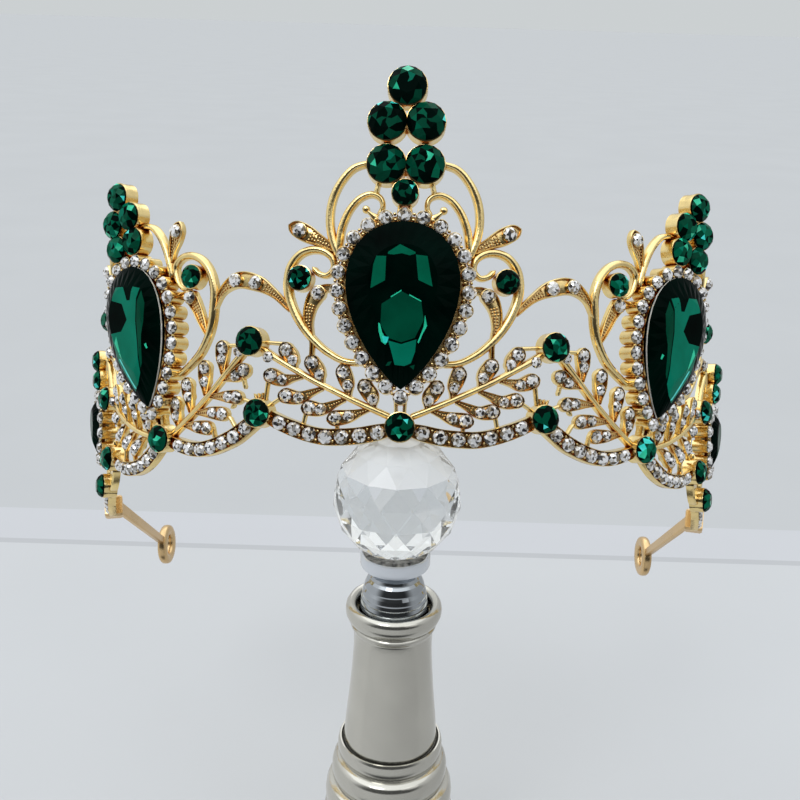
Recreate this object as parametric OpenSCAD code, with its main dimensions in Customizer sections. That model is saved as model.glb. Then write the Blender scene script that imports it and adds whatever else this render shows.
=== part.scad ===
// Jewelled diadem resting on a small display stand, in millimetres.
// The diadem is laid out on a flared ring: x runs along the ring, y up its slope and n outwards.
// Paths and leaves are drawn for the right side of a motif, and side = -1 gives its left side.

/* [Ring] */
// Radius of the ring at the lower edge of the diadem
ring_r = 74; // [71:0.5:77]
// Outward flare of the front motifs
flare = 17.1; // [15:0.1:19]
// Outward flare of the end motifs
end_flare = 9; // [7:0.5:11]
// Angle from the front to a side motif
side_angle = 41.3; // [40.5:0.1:42]
// Angle from the front to an end motif
end_angle = 67.2; // [67:0.1:67.5]

/* [Stones] */
// Length of the centre pear stone
pear_len = 31.4; // [30:0.2:31.6]
// Half width of the centre pear stone
pear_half_w = 10.7; // [10:0.1:10.8]
// Radius of the clear stones
clear_r = 1.25; // [1.1:0.05:1.35]
// Gap between a stone and its cup
seat_gap = 0.1; // [0.05:0.05:0.2]

/* [Metalwork] */
// Depth of the cast wires
wire_deep = 1.8; // [1.5:0.1:2.2]
// Depth of the cups behind the green stones
cup_deep = 3; // [2.4:0.1:3.4]
// Depth of the cup wall behind a pear stone and its border
border_deep = 3.4; // [3:0.1:4]
// Rim of metal around a green stone
cup_rim = 0.35; // [0.25:0.05:0.5]

/* [End arms] */
// Length of each arm from its block to the centre of its eye
arm_len = 44.5; // [42:0.5:46]
// Height of the arm bar at its block
arm_h = 2.8; // [2.4:0.1:3.6]
// Diameter of the hole in the eye
eye_bore = 5; // [4:0.1:6]

/* [Rest on the stand] */
// Backward tilt of the ring
tilt = 40.6; // [40:0.1:41]
// Turn of the ring
turn = -1.2; // [-1.6:0.1:-0.8]

/* [Stand] */
// Radius of the glass ball
ball_r = 12.8; // [12:0.1:12.8]
// Height of the ball's centre above the table
ball_z = 112; // [108:1:120]
// Radius of the foot
foot_r = 29; // [26:0.5:32]

/* [Hidden] */

// Columns of every path: x, y, width
OUTER_ARC = [
    [6.6, 51.4, 1.3], [10.0, 50.4, 1.5], [12.8, 47.2, 1.6], [14.3, 43.0, 1.7], [14.1, 38.4, 1.7],
    [12.2, 33.2, 1.9]
];
INNER_ARC = [
    [10.8, 36.0, 1.6], [11.4, 39.8, 1.6], [9.6, 43.8, 1.5], [6.6, 45.3, 1.3], [4.3, 44.0, 1.2],
    [4.8, 41.0, 1.2]
];
PETAL = [[13.6, 35.6, 1.2], [19.4, 38.6, 3.4], [22.4, 40.3, 1.8]];
SIDE_ARC = [
    [4.6, 47.8, 1.2], [7.1, 46.8, 1.4], [9.2, 43.9, 1.6], [10.1, 41.2, 1.6], [10.5, 38.2, 1.6],
    [10.4, 34.8, 1.8]
];
SIDE_PETAL = [[11.0, 38.2, 1.2], [13.9, 43.8, 3.3], [15.1, 45.7, 1.8]];
ARC_POST = [[5.0, 48.0, 1.4], [5.6, 45.2, 1.2]];
// Short straight links above a pear stone and below it
CENTER_NECK = [[0, 41.4, 2.6], [0, 43.6, 2.6]];
CENTER_TAIL = [[0, 2.0, 2.2], [0, 6.4, 2.2]];
SIDE_NECK = [[0, 41.0, 5.0], [0, 45.4, 5.0]];
SIDE_TAIL = [[0, 4.0, 2.2], [0, 8.0, 2.2]];
END_TAIL = [[0, 2.0, 2.0], [0, 6.4, 2.0]];
SCROLL = [
    [17.4, 31.6, 1.2], [15.2, 29.9, 1.2], [13.4, 31.1, 1.3], [13.8, 33.4, 1.4], [17.0, 35.1, 1.6],
    [20.4, 34.3, 1.7], [22.3, 31.2, 1.8], [22.3, 27.0, 1.9], [20.6, 22.6, 1.8], [17.8, 18.4, 1.6],
    [13.8, 14.8, 1.5], [7.6, 12.6, 1.4]
];
SIDE_SCROLL = [
    [14.6, 32.0, 1.2], [12.3, 32.8, 1.2], [11.9, 35.4, 1.4], [13.2, 37.7, 1.5], [16.2, 38.2, 1.7],
    [19.0, 36.4, 1.8], [20.3, 32.6, 1.9], [19.9, 28.2, 1.9], [17.4, 22.4, 1.7], [13.4, 17.8, 1.6],
    [7.2, 14.7, 1.4]
];
COMMA = [
    [13.0, 27.4, 1.4], [16.2, 26.5, 3.0], [17.9, 23.2, 2.4], [17.6, 19.0, 1.2], [17.2, 13.8, 1.0]
];
SIDE_COMMA = [[11.4, 30.6, 1.4], [14.4, 29.8, 3.0], [15.7, 26.2, 2.4], [16.8, 21.4, 1.0]];
FERN_STEM = [
    [1.8, 2.4, 1.4], [9.6, 6.0, 1.4], [17.0, 9.9, 1.3], [22.6, 13.4, 1.3], [27.8, 17.0, 1.6]
];
SIDE_STEM = [[1.8, 3.0, 1.4], [8.3, 6.0, 1.4], [14.5, 9.7, 1.3], [19.5, 13.3, 1.3], [26.0, 18.2, 1.6]];
BAND = [
    [1.8, 0.1, 2.6], [4.2, -0.5, 3.2], [7.5, -1.1, 3.3], [10.9, -1.3, 3.3], [14.0, -1.2, 3.3],
    [17.1, -0.5, 3.2], [20.2, 0.7, 3.2], [23.2, 2.1, 3.0], [25.8, 3.6, 2.8]
];
SIDE_BAND = [
    [1.8, 1.8, 2.6], [4.0, 0.7, 3.0], [6.7, -0.4, 3.2], [9.4, -1.0, 3.2], [12.2, -1.0, 3.2],
    [15.1, -0.5, 3.2], [18.0, 0.3, 3.2], [21.0, 1.7, 3.0], [23.8, 3.2, 2.8]
];
// Columns: x and y of the leaf's foot on the stem, x and y of its far stone
LEAVES = [
    [20.4, 12.1, 22.4, 16.2], [14.8, 8.7, 17.1, 13.2], [9.6, 6.0, 11.0, 11.1], [4.9, 3.7, 6.7, 8.2],
    [18.4, 10.6, 25.4, 11.4], [14.2, 8.3, 22.2, 7.2], [9.8, 6.0, 17.5, 4.5], [5.4, 3.9, 12.4, 2.3]
];
SIDE_LEAVES = [
    [18.3, 12.5, 19.6, 18.1], [13.2, 9.0, 14.4, 14.9], [8.6, 6.3, 9.1, 12.4], [4.6, 4.3, 5.1, 9.1],
    [17.4, 11.8, 23.3, 13.0], [13.6, 9.2, 20.4, 8.0], [9.2, 6.5, 16.3, 5.2], [5.4, 4.7, 11.9, 3.1]
];
// Columns: x and y of one end of a small bar, x and y of the other
BARS = [[22.6, 17.0, 28.0, 18.2]];
SIDE_BARS = [[20.0, 18.6, 25.6, 18.0]];
BRIDGE = [
    [21.8, 23.8, 1.2], [25.4, 27.4, 1.8], [29.2, 29.9, 3.2], [33.7, 31.0, 3.2], [36.8, 29.4, 1.9],
    [38.8, 26.2, 1.3]
];
END_BRIDGE = [
    [18.7, 24.2, 1.2], [23.4, 27.6, 1.8], [27.9, 30.0, 3.2], [31.0, 30.4, 2.6], [34.0, 28.0, 1.8],
    [36.9, 25.4, 1.6]
];
END_SCROLL_OUT = [
    [1.6, 31.2, 1.2], [5.4, 30.6, 1.4], [8.6, 27.6, 1.6], [9.8, 23.4, 1.8], [9.2, 18.6, 1.8],
    [9.0, 13.6, 1.6], [9.8, 8.6, 1.6], [11.0, 3.0, 1.6], [11.1, -1.6, 1.6]
];
END_SCROLL_IN = [
    [-1.6, 31.2, 1.2], [-5.0, 29.6, 1.4], [-7.0, 26.0, 1.6], [-8.6, 20.6, 1.8]
];
END_LEAF_STEM = [[1.6, 1.6, 1.3], [5.4, 4.4, 1.3], [8.4, 7.2, 1.3], [10.4, 9.6, 1.3]];
END_BAND_OUT = [
    [1.4, -0.6, 2.8], [4.4, -1.4, 3.2], [7.4, -2.0, 3.2], [10.2, -2.3, 3.2], [12.0, -2.4, 3.2]
];
END_BAND_IN = [[-1.4, -0.2, 2.8], [-4.8, 0.4, 3.0], [-8.4, 3.2, 3.0]];

// Columns of every green stone: x, y, radius
CENTER_CREST = [[0, 65.9, 3.6], [3.6, 59.0, 3.6], [3.6, 50.7, 3.6], [0, 45.2, 2.35]];
SIDE_CREST = [[0, 55.6, 2.75], [2.8, 50.4, 2.75], [2.8, 44.9, 2.7]];
END_CREST = [[0, 26.5, 2.3], [0, 31.4, 2.3]];
CENTER_BASE = [0, 0.5, 2.6];
SIDE_BASE = [0, 2.9, 2.6];
END_BASE = [0, 0.6, 2.5];
SCROLL_STONE = [19.7, 29.6, 2.2];
SIDE_SCROLL_STONE = [16.4, 33.6, 2.2];
// Columns of the stones between two motifs: angle, y, radius
LINKS = [[21.2, 18.4, 2.65], [20.9, 4.3, 2.55], [59.6, 18.4, 2.5], [59.6, 4.4, 2.5]];

// A pair of studs leans out over each lower link. Columns of a stud's foot and of its top: x, y and
// radius, the foot's x as a share of the top's
STUD = [[0.2, 6.6, 0.5], [0.7, 8.0, 0.4]];

// Columns of a pear stone: y of its tip, length, half width, stones in half of its border and the
// angle round its outline at which they start
CENTER_PEAR = [7.8, pear_len, pear_half_w, 12, 24];
SIDE_PEAR = [10, pear_len - 2, pear_half_w - 1.8, 12, 24];
END_PEAR = [8.6, 12.4, 4.1, 5, 40];
pear_round = 0.725;
pear_peak = 0.8167;
pear_facets = 16;
pear_girdle = 0.7;
pear_high = 2.6;
pear_table = 0.56;
// Height of the small end pears by that of the others
end_pear_high = 0.6;
// Share of its length at which a pear is widest, and of its outline that the stone fills
pear_widest = 0.63;
pear_fill = 0.985;
border_out = 1.5;
// The stone under the tip of a pear hangs this far below it
drop_out = 1.75;
scallop_r = 1.45;
// Facets, share of the width that is table, and height by radius of a round stone
stone_facets = 8;
round_table = 0.58;
round_high = 0.62;
clear_facets = 8;
clear_table = 0.6;
clear_high = 0.8;
flare_from = 46;
flare_over = 14;
// The ring draws in towards its ends by this much for each degree past flare_from
ring_taper = 0.081;

// Columns of the stand's profile: radius, height from the ball's centre
COLLAR = [[0, -15.4], [6.8, -15.4], [7.0, -15.1], [7.1, -11.4], [6.9, -10.9]];
NECK = [
    [0, -15.6], [3.6, -15.6], [3.6, -16.2], [5.1, -17.0], [6.4, -18.6], [7.1, -21.2], [7.3, -24.9],
    [7.3, -25.6], [0, -25.6]
];
PEDESTAL = [
    [7.5, -25.8], [7.8, -24.2], [8.5, -23.5], [9.1, -23.4], [9.7, -24.1], [9.9, -25.2], [9.7, -26.6],
    [9.1, -27.5], [8.6, -27.9], [8.7, -28.8], [8.2, -29.8], [8.1, -34.0], [8.4, -39.0], [8.9, -45.0],
    [9.5, -50.8], [10.0, -55.8], [10.8, -56.4], [10.8, -60.2], [12.3, -62.6], [12.3, -66.2],
    [13.7, -68.6], [13.8, -72.8], [14.6, -77.5], [15.4, -82.0], [17.2, -87.0], [20.2, -92.0]
];
// Backs of the pieces lie a little apart, so that they join cleanly
wire_from = 0.2;
leaf_from = 0.4;
leaf_deep = 1.5;
bar_from = 0.6;
bar_deep = wire_deep - 0.5;
band_deep = wire_deep + 0.4;
comma_deep = wire_deep - 0.1;
scroll_cup_deep = cup_deep - 0.6;
// Stones on a bent leaf stand a little higher, clear of its metal
raised = wire_deep + 0.3;
// A side motif slants: it draws towards the front by this share of its depth below slant_top
side_slant = 0.0555;
slant_top = 40;
// Width, height and depth of the block at the end of the ring
BLOCK = [3.4, 5.2, 4.2];
block_angle = end_angle + 11.1;
block_y = -1.0;
block_back = 1.2;
bar_thick = 1.6;
bar_narrow = 0.8;
bar_turn = 93.4;
bar_rise = 0.4;
eye_wall = 3.0;
eye_deep = 2.5;
// Where the middle of the ring is from the stand's axis and below the ball's centre
ring_x = 1.7;
ring_y = 53.8;
ring_drop = 33.25;

function lean_at(a) = flare - (flare - end_flare) * min(1, max(0, (abs(a) - flare_from) / flare_over));
function ring_at(a) = ring_r - ring_taper * max(0, abs(a) - flare_from);
function ring_point(a, y, n) =
    let (l = lean_at(a), r = ring_at(a) + y * sin(l) + n * cos(l))
    [r * sin(a), -r * cos(a), y * cos(l) - n * sin(l)];
function slant_of(phi) = abs(phi) == side_angle ? -sign(phi) * side_slant : 0;
function slant_at(phi, y) = slant_of(phi) * max(0, slant_top - y);
function along(phi, x, y) =
    phi + (x + slant_at(phi, y)) / (ring_r + y * sin(lean_at(phi))) * 180 / PI;
function spot(phi, p, n) = ring_point(along(phi, p[0], p[1]), p[1], n);
function unit2(v) = v / max(norm(v), 0.0001);
function flip(rows, side) = [for (r = rows) [side * r[0], r[1], r[2]]];
function leaf_path(l) =
    [[l[0], l[1], 0.7], [l[0] + 0.6 * (l[2] - l[0]), l[1] + 0.6 * (l[3] - l[1]), 2.6],
     [l[2] + 0.14 * (l[2] - l[0]), l[3] + 0.14 * (l[3] - l[1]), 2.4]];
function bar_path(b) = [[b[0], b[1], 1.0], [b[2], b[3], 1.0]];

// The pear's outline: t runs from 0 at its tip to 180 at its round end
function pear_edge(pear, t) =
    [pear[2] * sin(t) * pow(abs(sin(t / 2)), pear_round) / pear_peak, pear[0] + pear[1] * (1 - cos(t)) / 2];
function pear_normal(pear, t) =
    let (d = unit2(pear_edge(pear, t + 1) - pear_edge(pear, t - 1))) [d[1], -d[0]];
function pear_middle(pear) = pear[0] + pear_widest * pear[1];
function border_edge(pear, t) = pear_edge(pear, t) + border_out * pear_normal(pear, t);
function run_sums(pts, i = 0, total = 0) = i >= len(pts) ? [] :
    let (s = i == 0 ? 0 : total + norm(pts[i] - pts[i - 1])) concat([s], run_sums(pts, i + 1, s));
// Equally spaced stones from beside the tip to the round end; each is [x, y, normal x, normal y]
function border_half(pear) =
    let (ts = [for (t = [pear[4]:4:180]) t], sums = run_sums([for (t = ts) border_edge(pear, t)]),
         table = [for (i = [0:len(ts) - 1]) [sums[i], ts[i]]], full = sums[len(sums) - 1])
    [for (i = [0:pear[3]]) let (t = lookup(full * i / pear[3], table), p = border_edge(pear, t),
        m = pear_normal(pear, t)) [p[0], p[1], m[0], m[1]]];
function border_stones(pear) =
    let (half = border_half(pear), k = len(half) - 1)
    concat([[0, pear[0] - drop_out, 0, -1]], half,
        [for (i = [k - 1:-1:0]) [-half[i][0], half[i][1], -half[i][2], half[i][3]]]);
function scallop(s) =
    [for (a = [-40, 40]) [s[0] + scallop_r * (s[2] * cos(a) - s[3] * sin(a)),
        s[1] + scallop_r * (s[2] * sin(a) + s[3] * cos(a))]];

// A cast wire or leaf that follows rows of x, y and width; ridged wires narrow towards the front
module strip(phi, rows, deep, ridged = true, from = wire_from) {
    profile = [[1, 0], [-1, 0], ridged ? [-0.6, 1] : [-1, 1], ridged ? [0.6, 1] : [1, 1]];
    k = len(rows);
    q = len(profile);
    points = [for (i = [0:k - 1])
        let (ahead = rows[min(i + 1, k - 1)], behind = rows[max(i - 1, 0)],
             d = unit2([ahead[0] - behind[0], ahead[1] - behind[1]]), half = rows[i][2] / 2)
        for (c = profile)
            spot(phi, [rows[i][0] - d[1] * c[0] * half, rows[i][1] + d[0] * c[0] * half],
                from + (deep - from) * c[1])];
    sides = [for (i = [0:k - 2], j = [0:q - 1])
        let (a = i * q + j, b = i * q + (j + 1) % q) each [[a, b, b + q], [a, b + q, a + q]]];
    caps = [for (j = [1:q - 2]) each
        [[0, j + 1, j], [(k - 1) * q, (k - 1) * q + j, (k - 1) * q + j + 1]]];
    polyhedron(points, concat(sides, caps));
}

// A plate with a round outline, given anticlockwise about its middle
module plate(phi, outline, middle, deep) {
    k = len(outline);
    points = concat([for (p = outline) spot(phi, p, 0)], [for (p = outline) spot(phi, p, deep)],
        [spot(phi, middle, 0), spot(phi, middle, deep)]);
    faces = [for (i = [0:k - 1]) let (j = (i + 1) % k)
        each [[2 * k, i, j], [2 * k + 1, k + j, k + i], [i, k + i, k + j], [i, k + j, j]]];
    polyhedron(points, faces);
}

// Puts a flat piece on the ring, its own z axis pointing outwards
module on_ring(phi, x, y, n) {
    a = along(phi, x, y);
    rotate([0, 0, a])
        translate([0, -ring_at(a), 0])
            rotate([90 + lean_at(a), 0, 0])
                translate([0, y, n])
                    children();
}

module cup(phi, x, y, r, deep = cup_deep) {
    on_ring(phi, x, y, 0)
        cylinder(r = r + cup_rim, h = deep, $fn = stone_facets);
}

// A round stone: one row of crown facets and a table
module round_stone(phi, x, y, r, from = cup_deep) {
    on_ring(phi, x, y, from + seat_gap)
        cylinder(r1 = r, r2 = round_table * r, h = round_high * r, $fn = stone_facets);
}

// A clear stone is a flatter crown on its table of metal
module clear_stone(phi, x, y, from) {
    on_ring(phi, x, y, from + seat_gap)
        cylinder(r1 = clear_r, r2 = clear_table * clear_r, h = clear_high, $fn = clear_facets);
}

// A cut stone with any outline: girdle, crown facets and a table
module gem(outline, girdle, high, table) {
    k = len(outline);
    levels = [[1, 0], [1, girdle], [table, high]];
    points = [for (l = levels, p = outline) [p[0] * l[0], p[1] * l[0], l[1]]];
    sides = [for (l = [0:1], i = [0:k - 1]) let (j = (i + 1) % k, a = l * k)
        each [[a + i, a + k + i, a + k + j], [a + i, a + k + j, a + j]]];
    polyhedron(points, concat(sides, [[for (i = [0:k - 1]) i]], [[for (i = [k - 1:-1:0]) 2 * k + i]]));
}

module pear_stone(phi, pear, size = 1) {
    middle = pear_middle(pear);
    on_ring(phi, 0, middle, border_deep + seat_gap)
        rotate([0, 0, atan(slant_of(phi))])
            gem([for (i = [0:pear_facets - 1])
                    pear_fill * (pear_edge(pear, i * 360 / pear_facets) - [0, middle])],
                pear_girdle * size, pear_high * size, pear_table);
}

module pear_seat(phi, pear) {
    plate(phi, [for (s = border_stones(pear)) each scallop(s)], [0, pear_middle(pear)], border_deep);
}

module fern(phi, side, is_center) {
    band = is_center ? BAND : SIDE_BAND;
    strip(phi, flip(is_center ? FERN_STEM : SIDE_STEM, side), wire_deep);
    strip(phi, flip([for (i = [0:2:len(band) - 1]) band[i]], side), band_deep, false, 0);
    for (l = is_center ? LEAVES : SIDE_LEAVES)
        strip(phi, flip(leaf_path(l), side), leaf_deep, false, leaf_from);
    for (b = is_center ? BARS : SIDE_BARS)
        strip(phi, flip(bar_path(b), side), bar_deep, false, bar_from);
}

module scrolls(phi, side, is_center) {
    strip(phi, flip(is_center ? SCROLL : SIDE_SCROLL, side), wire_deep);
    strip(phi, flip(is_center ? COMMA : SIDE_COMMA, side), comma_deep, false, leaf_from);
    stone = is_center ? SCROLL_STONE : SIDE_SCROLL_STONE;
    cup(phi, side * stone[0], stone[1], stone[2], scroll_cup_deep);
}

module crest_cups(phi, crest) {
    for (c = crest)
        for (side = c[0] == 0 ? [1] : [-1, 1])
            cup(phi, side * c[0], c[1], c[2]);
    for (i = [0:len(crest) - 2], side = [-1, 1])
        strip(phi, flip([[crest[i][0], crest[i][1], 1.6], [crest[i + 1][0], crest[i + 1][1], 1.6]], side),
            wire_deep, false);
}

module center_motif() {
    pear_seat(0, CENTER_PEAR);
    crest_cups(0, CENTER_CREST);
    cup(0, CENTER_BASE[0], CENTER_BASE[1], CENTER_BASE[2]);
    strip(0, CENTER_TAIL, wire_deep, false);
    strip(0, CENTER_NECK, wire_deep, false);
    for (side = [-1, 1]) {
        fern(0, side, true);
        scrolls(0, side, true);
        strip(0, flip(OUTER_ARC, side), wire_deep);
        strip(0, flip(INNER_ARC, side), wire_deep);
        strip(0, flip(PETAL, side), wire_deep, false);
        strip(0, flip(ARC_POST, side), wire_deep, false);
    }
}

module side_motif(phi) {
    pear_seat(phi, SIDE_PEAR);
    crest_cups(phi, SIDE_CREST);
    cup(phi, SIDE_BASE[0], SIDE_BASE[1], SIDE_BASE[2]);
    strip(phi, SIDE_NECK, wire_deep, false);
    strip(phi, SIDE_TAIL, wire_deep, false);
    for (side = [-1, 1]) {
        fern(phi, side, false);
        scrolls(phi, side, false);
        strip(phi, flip(SIDE_ARC, side), wire_deep);
        strip(phi, flip(SIDE_PETAL, side), wire_deep, false);
    }
}

module end_motif(phi) {
    out = sign(phi);
    pear_seat(phi, END_PEAR);
    crest_cups(phi, END_CREST);
    cup(phi, END_BASE[0], END_BASE[1], END_BASE[2]);
    strip(phi, END_TAIL, wire_deep, false);
    strip(phi, flip(END_SCROLL_OUT, out), wire_deep);
    strip(phi, flip(END_SCROLL_IN, out), wire_deep);
    strip(phi, flip(END_LEAF_STEM, out), wire_deep);
    strip(phi, flip(END_BAND_OUT, out), band_deep, false);
    strip(phi, flip(END_BAND_IN, out), band_deep, false);
}

module placed() {
    translate([ring_x, ring_y, ball_z - ring_drop])
        rotate([-tilt, 0, 0])
            rotate([0, 0, turn])
                children();
}

module frame() color("gold") placed() {
    for (side = [-1, 1], a = [LINKS[1][0], LINKS[3][0]], x = [-STUD[1][0], STUD[1][0]])
        hull() {
            on_ring(side * a, x * STUD[0][0], STUD[0][1], 0)
                cylinder(r = STUD[0][2], h = wire_deep, $fn = 6);
            on_ring(side * a, x, STUD[1][1], 0)
                cylinder(r = STUD[1][2], h = wire_deep, $fn = 6);
        }
    center_motif();
    for (side = [-1, 1]) {
        side_motif(side * side_angle);
        end_motif(side * end_angle);
        strip(0, flip(BRIDGE, side), wire_deep, false);
        strip(side * side_angle, flip(END_BRIDGE, side), wire_deep, false);
        for (l = LINKS)
            cup(side * l[0], 0, l[1], l[2]);
    }
}

// Block, bar and eye: the bar runs straight from the block to the eye
module arm(side) {
    a = side * block_angle;
    bar_end = arm_len - eye_bore / 2 - eye_wall / 2;
    on_ring(a, 0, block_y, -block_back)
        translate([-BLOCK[0] / 2, -BLOCK[1] / 2, 0])
            cube(BLOCK);
    translate(ring_point(a, block_y + 0.5, 0.4))
        rotate([0, 0, side > 0 ? bar_turn : 180 - bar_turn])
            rotate([0, -bar_rise, 0]) {
                rotate([90, 0, 0])
                    translate([0, 0, -bar_thick / 2])
                        linear_extrude(bar_thick)
                            polygon([[0, -arm_h / 2], [bar_end, -bar_narrow * arm_h / 2],
                                [bar_end, bar_narrow * arm_h / 2], [0, arm_h / 2]]);
                translate([arm_len, eye_deep / 2, 0])
                    rotate([90, 0, 0])
                        difference() {
                            cylinder(d = eye_bore + 2 * eye_wall, h = eye_deep, $fn = 48);
                            translate([0, 0, -1])
                                cylinder(d = eye_bore, h = eye_deep + 2, $fn = 48);
                        }
            }
}
module arm_right() color("gold") placed() arm(1);
module arm_left() color("gold") placed() arm(-1);

module emerald(phi, row, side = 1) {
    color("darkgreen") placed() round_stone(phi, side * row[0], row[1], row[2]);
}
module link_stone(side, row) {
    color("darkgreen") placed() round_stone(side * row[0], 0, row[1], row[2]);
}
module pear(phi, row, size = 1) {
    color("darkgreen") placed() pear_stone(phi, row, size);
}
module scroll_stones() color("darkgreen") placed() {
    for (phi = [-side_angle, 0, side_angle], side = [-1, 1]) {
        row = phi == 0 ? SCROLL_STONE : SIDE_SCROLL_STONE;
        round_stone(phi, side * row[0], row[1], row[2], scroll_cup_deep);
    }
}

module border_field(phi, pear) {
    for (s = border_stones(pear))
        clear_stone(phi, s[0], s[1], border_deep);
}
module strip_stones(phi, rows, from) {
    for (r = rows)
        clear_stone(phi, r[0], r[1], from);
}
module motif_stones(phi, is_center) {
    border_field(phi, is_center ? CENTER_PEAR : SIDE_PEAR);
    for (side = [-1, 1]) {
        band = is_center ? BAND : SIDE_BAND;
        strip_stones(phi, flip([for (i = [1:len(band) - 2]) band[i]], side), band_deep);
        strip_stones(phi, flip([(is_center ? PETAL : SIDE_PETAL)[1]], side), raised);
        strip_stones(phi, flip([(is_center ? COMMA : SIDE_COMMA)[1]], side), raised);
    }
}
module clear_center() color("white") placed() motif_stones(0, true);
module clear_side(side) color("white") placed() {
    motif_stones(side * side_angle, false);
    strip_stones(0, flip([BRIDGE[2], BRIDGE[3]], side), raised);
    strip_stones(side * side_angle, flip([END_BRIDGE[2]], side), raised);
    border_field(side * end_angle, END_PEAR);
    strip_stones(side * end_angle, flip([for (i = [1:3]) END_BAND_OUT[i]], side), band_deep);
}

module glass_ball() color("azure") translate([0, 0, ball_z]) sphere(r = ball_r, $fn = 48);
module turned(profile) {
    translate([0, 0, ball_z])
        rotate_extrude($fn = 72)
            polygon(profile);
}
module ball_collar() color("silver") difference() {
    turned(concat(COLLAR, [[0, -10.9]]));
    translate([0, 0, ball_z])
        sphere(r = ball_r + seat_gap, $fn = 48);
}
module collar_neck() color("silver") turned(NECK);
module pedestal() color("gray") {
    foot = [[foot_r - 3, -100], [foot_r, -103], [foot_r, -ball_z], [0, -ball_z]];
    turned(concat([[0, -25.8]], PEDESTAL, foot));
}

frame();
arm_right();
arm_left();
pear(0, CENTER_PEAR);  // pear_center
pear(side_angle, SIDE_PEAR);  // pear_right
pear(-side_angle, SIDE_PEAR);  // pear_left
pear(end_angle, END_PEAR, end_pear_high);  // pear_end_right
pear(-end_angle, END_PEAR, end_pear_high);  // pear_end_left
emerald(0, CENTER_CREST[0]);  // crest_top
emerald(0, CENTER_CREST[1]);  // crest_mid_right
emerald(0, CENTER_CREST[1], -1);  // crest_mid_left
emerald(0, CENTER_CREST[2]);  // crest_low_right
emerald(0, CENTER_CREST[2], -1);  // crest_low_left
emerald(0, CENTER_CREST[3]);  // crest_small
emerald(0, CENTER_BASE);  // base_center
emerald(side_angle, SIDE_CREST[0]);  // right_crest_top
emerald(side_angle, SIDE_CREST[1]);  // right_crest_mid_outer
emerald(side_angle, SIDE_CREST[1], -1);  // right_crest_mid_inner
emerald(side_angle, SIDE_CREST[2]);  // right_crest_low_outer
emerald(side_angle, SIDE_CREST[2], -1);  // right_crest_low_inner
emerald(side_angle, SIDE_BASE);  // right_base
emerald(-side_angle, SIDE_CREST[0]);  // left_crest_top
emerald(-side_angle, SIDE_CREST[1], -1);  // left_crest_mid_outer
emerald(-side_angle, SIDE_CREST[1]);  // left_crest_mid_inner
emerald(-side_angle, SIDE_CREST[2], -1);  // left_crest_low_outer
emerald(-side_angle, SIDE_CREST[2]);  // left_crest_low_inner
emerald(-side_angle, SIDE_BASE);  // left_base
link_stone(1, LINKS[0]);  // link_high_right
link_stone(1, LINKS[1]);  // link_low_right
link_stone(-1, LINKS[0]);  // link_high_left
link_stone(-1, LINKS[1]);  // link_low_left
link_stone(1, LINKS[2]);  // side_link_high_right
link_stone(1, LINKS[3]);  // side_link_low_right
link_stone(-1, LINKS[2]);  // side_link_high_left
link_stone(-1, LINKS[3]);  // side_link_low_left
emerald(end_angle, END_CREST[0]);  // end_crest_right
emerald(end_angle, END_CREST[1]);  // end_tip_right
emerald(end_angle, END_BASE);  // end_base_right
emerald(-end_angle, END_CREST[0]);  // end_crest_left
emerald(-end_angle, END_CREST[1]);  // end_tip_left
emerald(-end_angle, END_BASE);  // end_base_left
scroll_stones();
clear_center();
clear_side(1);  // clear_right
clear_side(-1);  // clear_left
glass_ball();
ball_collar();
collar_neck();
pedestal();
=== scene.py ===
"""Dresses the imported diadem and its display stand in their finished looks.

The diadem lies on a flared ring, as in the part: x runs along the ring, y up its slope and n outwards,
all in millimetres. Paths are drawn for the right side of a motif and mirrored for its left side.
"""

import math
from collections import namedtuple

import bmesh
import bpy
import numpy as np
from mathutils import Matrix, Vector
from mathutils.geometry import delaunay_2d_cdt


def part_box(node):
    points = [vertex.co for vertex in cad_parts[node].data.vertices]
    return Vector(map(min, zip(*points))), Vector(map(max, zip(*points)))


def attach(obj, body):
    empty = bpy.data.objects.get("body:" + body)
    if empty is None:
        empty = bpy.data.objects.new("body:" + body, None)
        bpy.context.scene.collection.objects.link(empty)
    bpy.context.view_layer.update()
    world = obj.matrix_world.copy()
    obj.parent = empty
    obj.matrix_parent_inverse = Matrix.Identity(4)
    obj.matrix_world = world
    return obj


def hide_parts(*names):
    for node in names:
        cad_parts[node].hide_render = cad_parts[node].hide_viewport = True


bl_info = {
    "name": "Jewelled diadem on a stand",
    "version": (1, 0, 0),
    "blender": (4, 5, 0),
    "location": "View3D > Sidebar > Diadem",
    "description": "Builds the gilt frame, cut stones, glass ball and stand of a diadem",
    "category": "Add Mesh",
}

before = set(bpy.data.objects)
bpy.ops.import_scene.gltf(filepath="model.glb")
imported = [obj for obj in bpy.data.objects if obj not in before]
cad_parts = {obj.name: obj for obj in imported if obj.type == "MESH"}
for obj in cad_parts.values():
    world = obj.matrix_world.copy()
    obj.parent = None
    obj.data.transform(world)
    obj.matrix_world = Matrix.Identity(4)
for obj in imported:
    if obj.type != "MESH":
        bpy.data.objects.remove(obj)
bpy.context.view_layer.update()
BALL_LOW, BALL_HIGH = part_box("glass_ball")
BALL_RADIUS = (BALL_HIGH[2] - BALL_LOW[2]) / 2
BALL_HEIGHT = (BALL_HIGH[2] + BALL_LOW[2]) / 2

MM = 0.001
# The ring, as in the part: radius of its lower edge, and what that loses for each degree past FLARE_FROM
RING_R, RING_TAPER = 74.0, 0.081
# Outward lean in front and at the ends, in degrees, and the angles over which one passes into the other
FLARE, END_FLARE, FLARE_FROM, FLARE_OVER = 17.1, 9.0, 46.0, 14.0
# Angles round the ring of a side motif, an end motif and an end block
SIDE_ANGLE, END_ANGLE, BLOCK_ANGLE = 41.3, 67.2, 78.3
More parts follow.
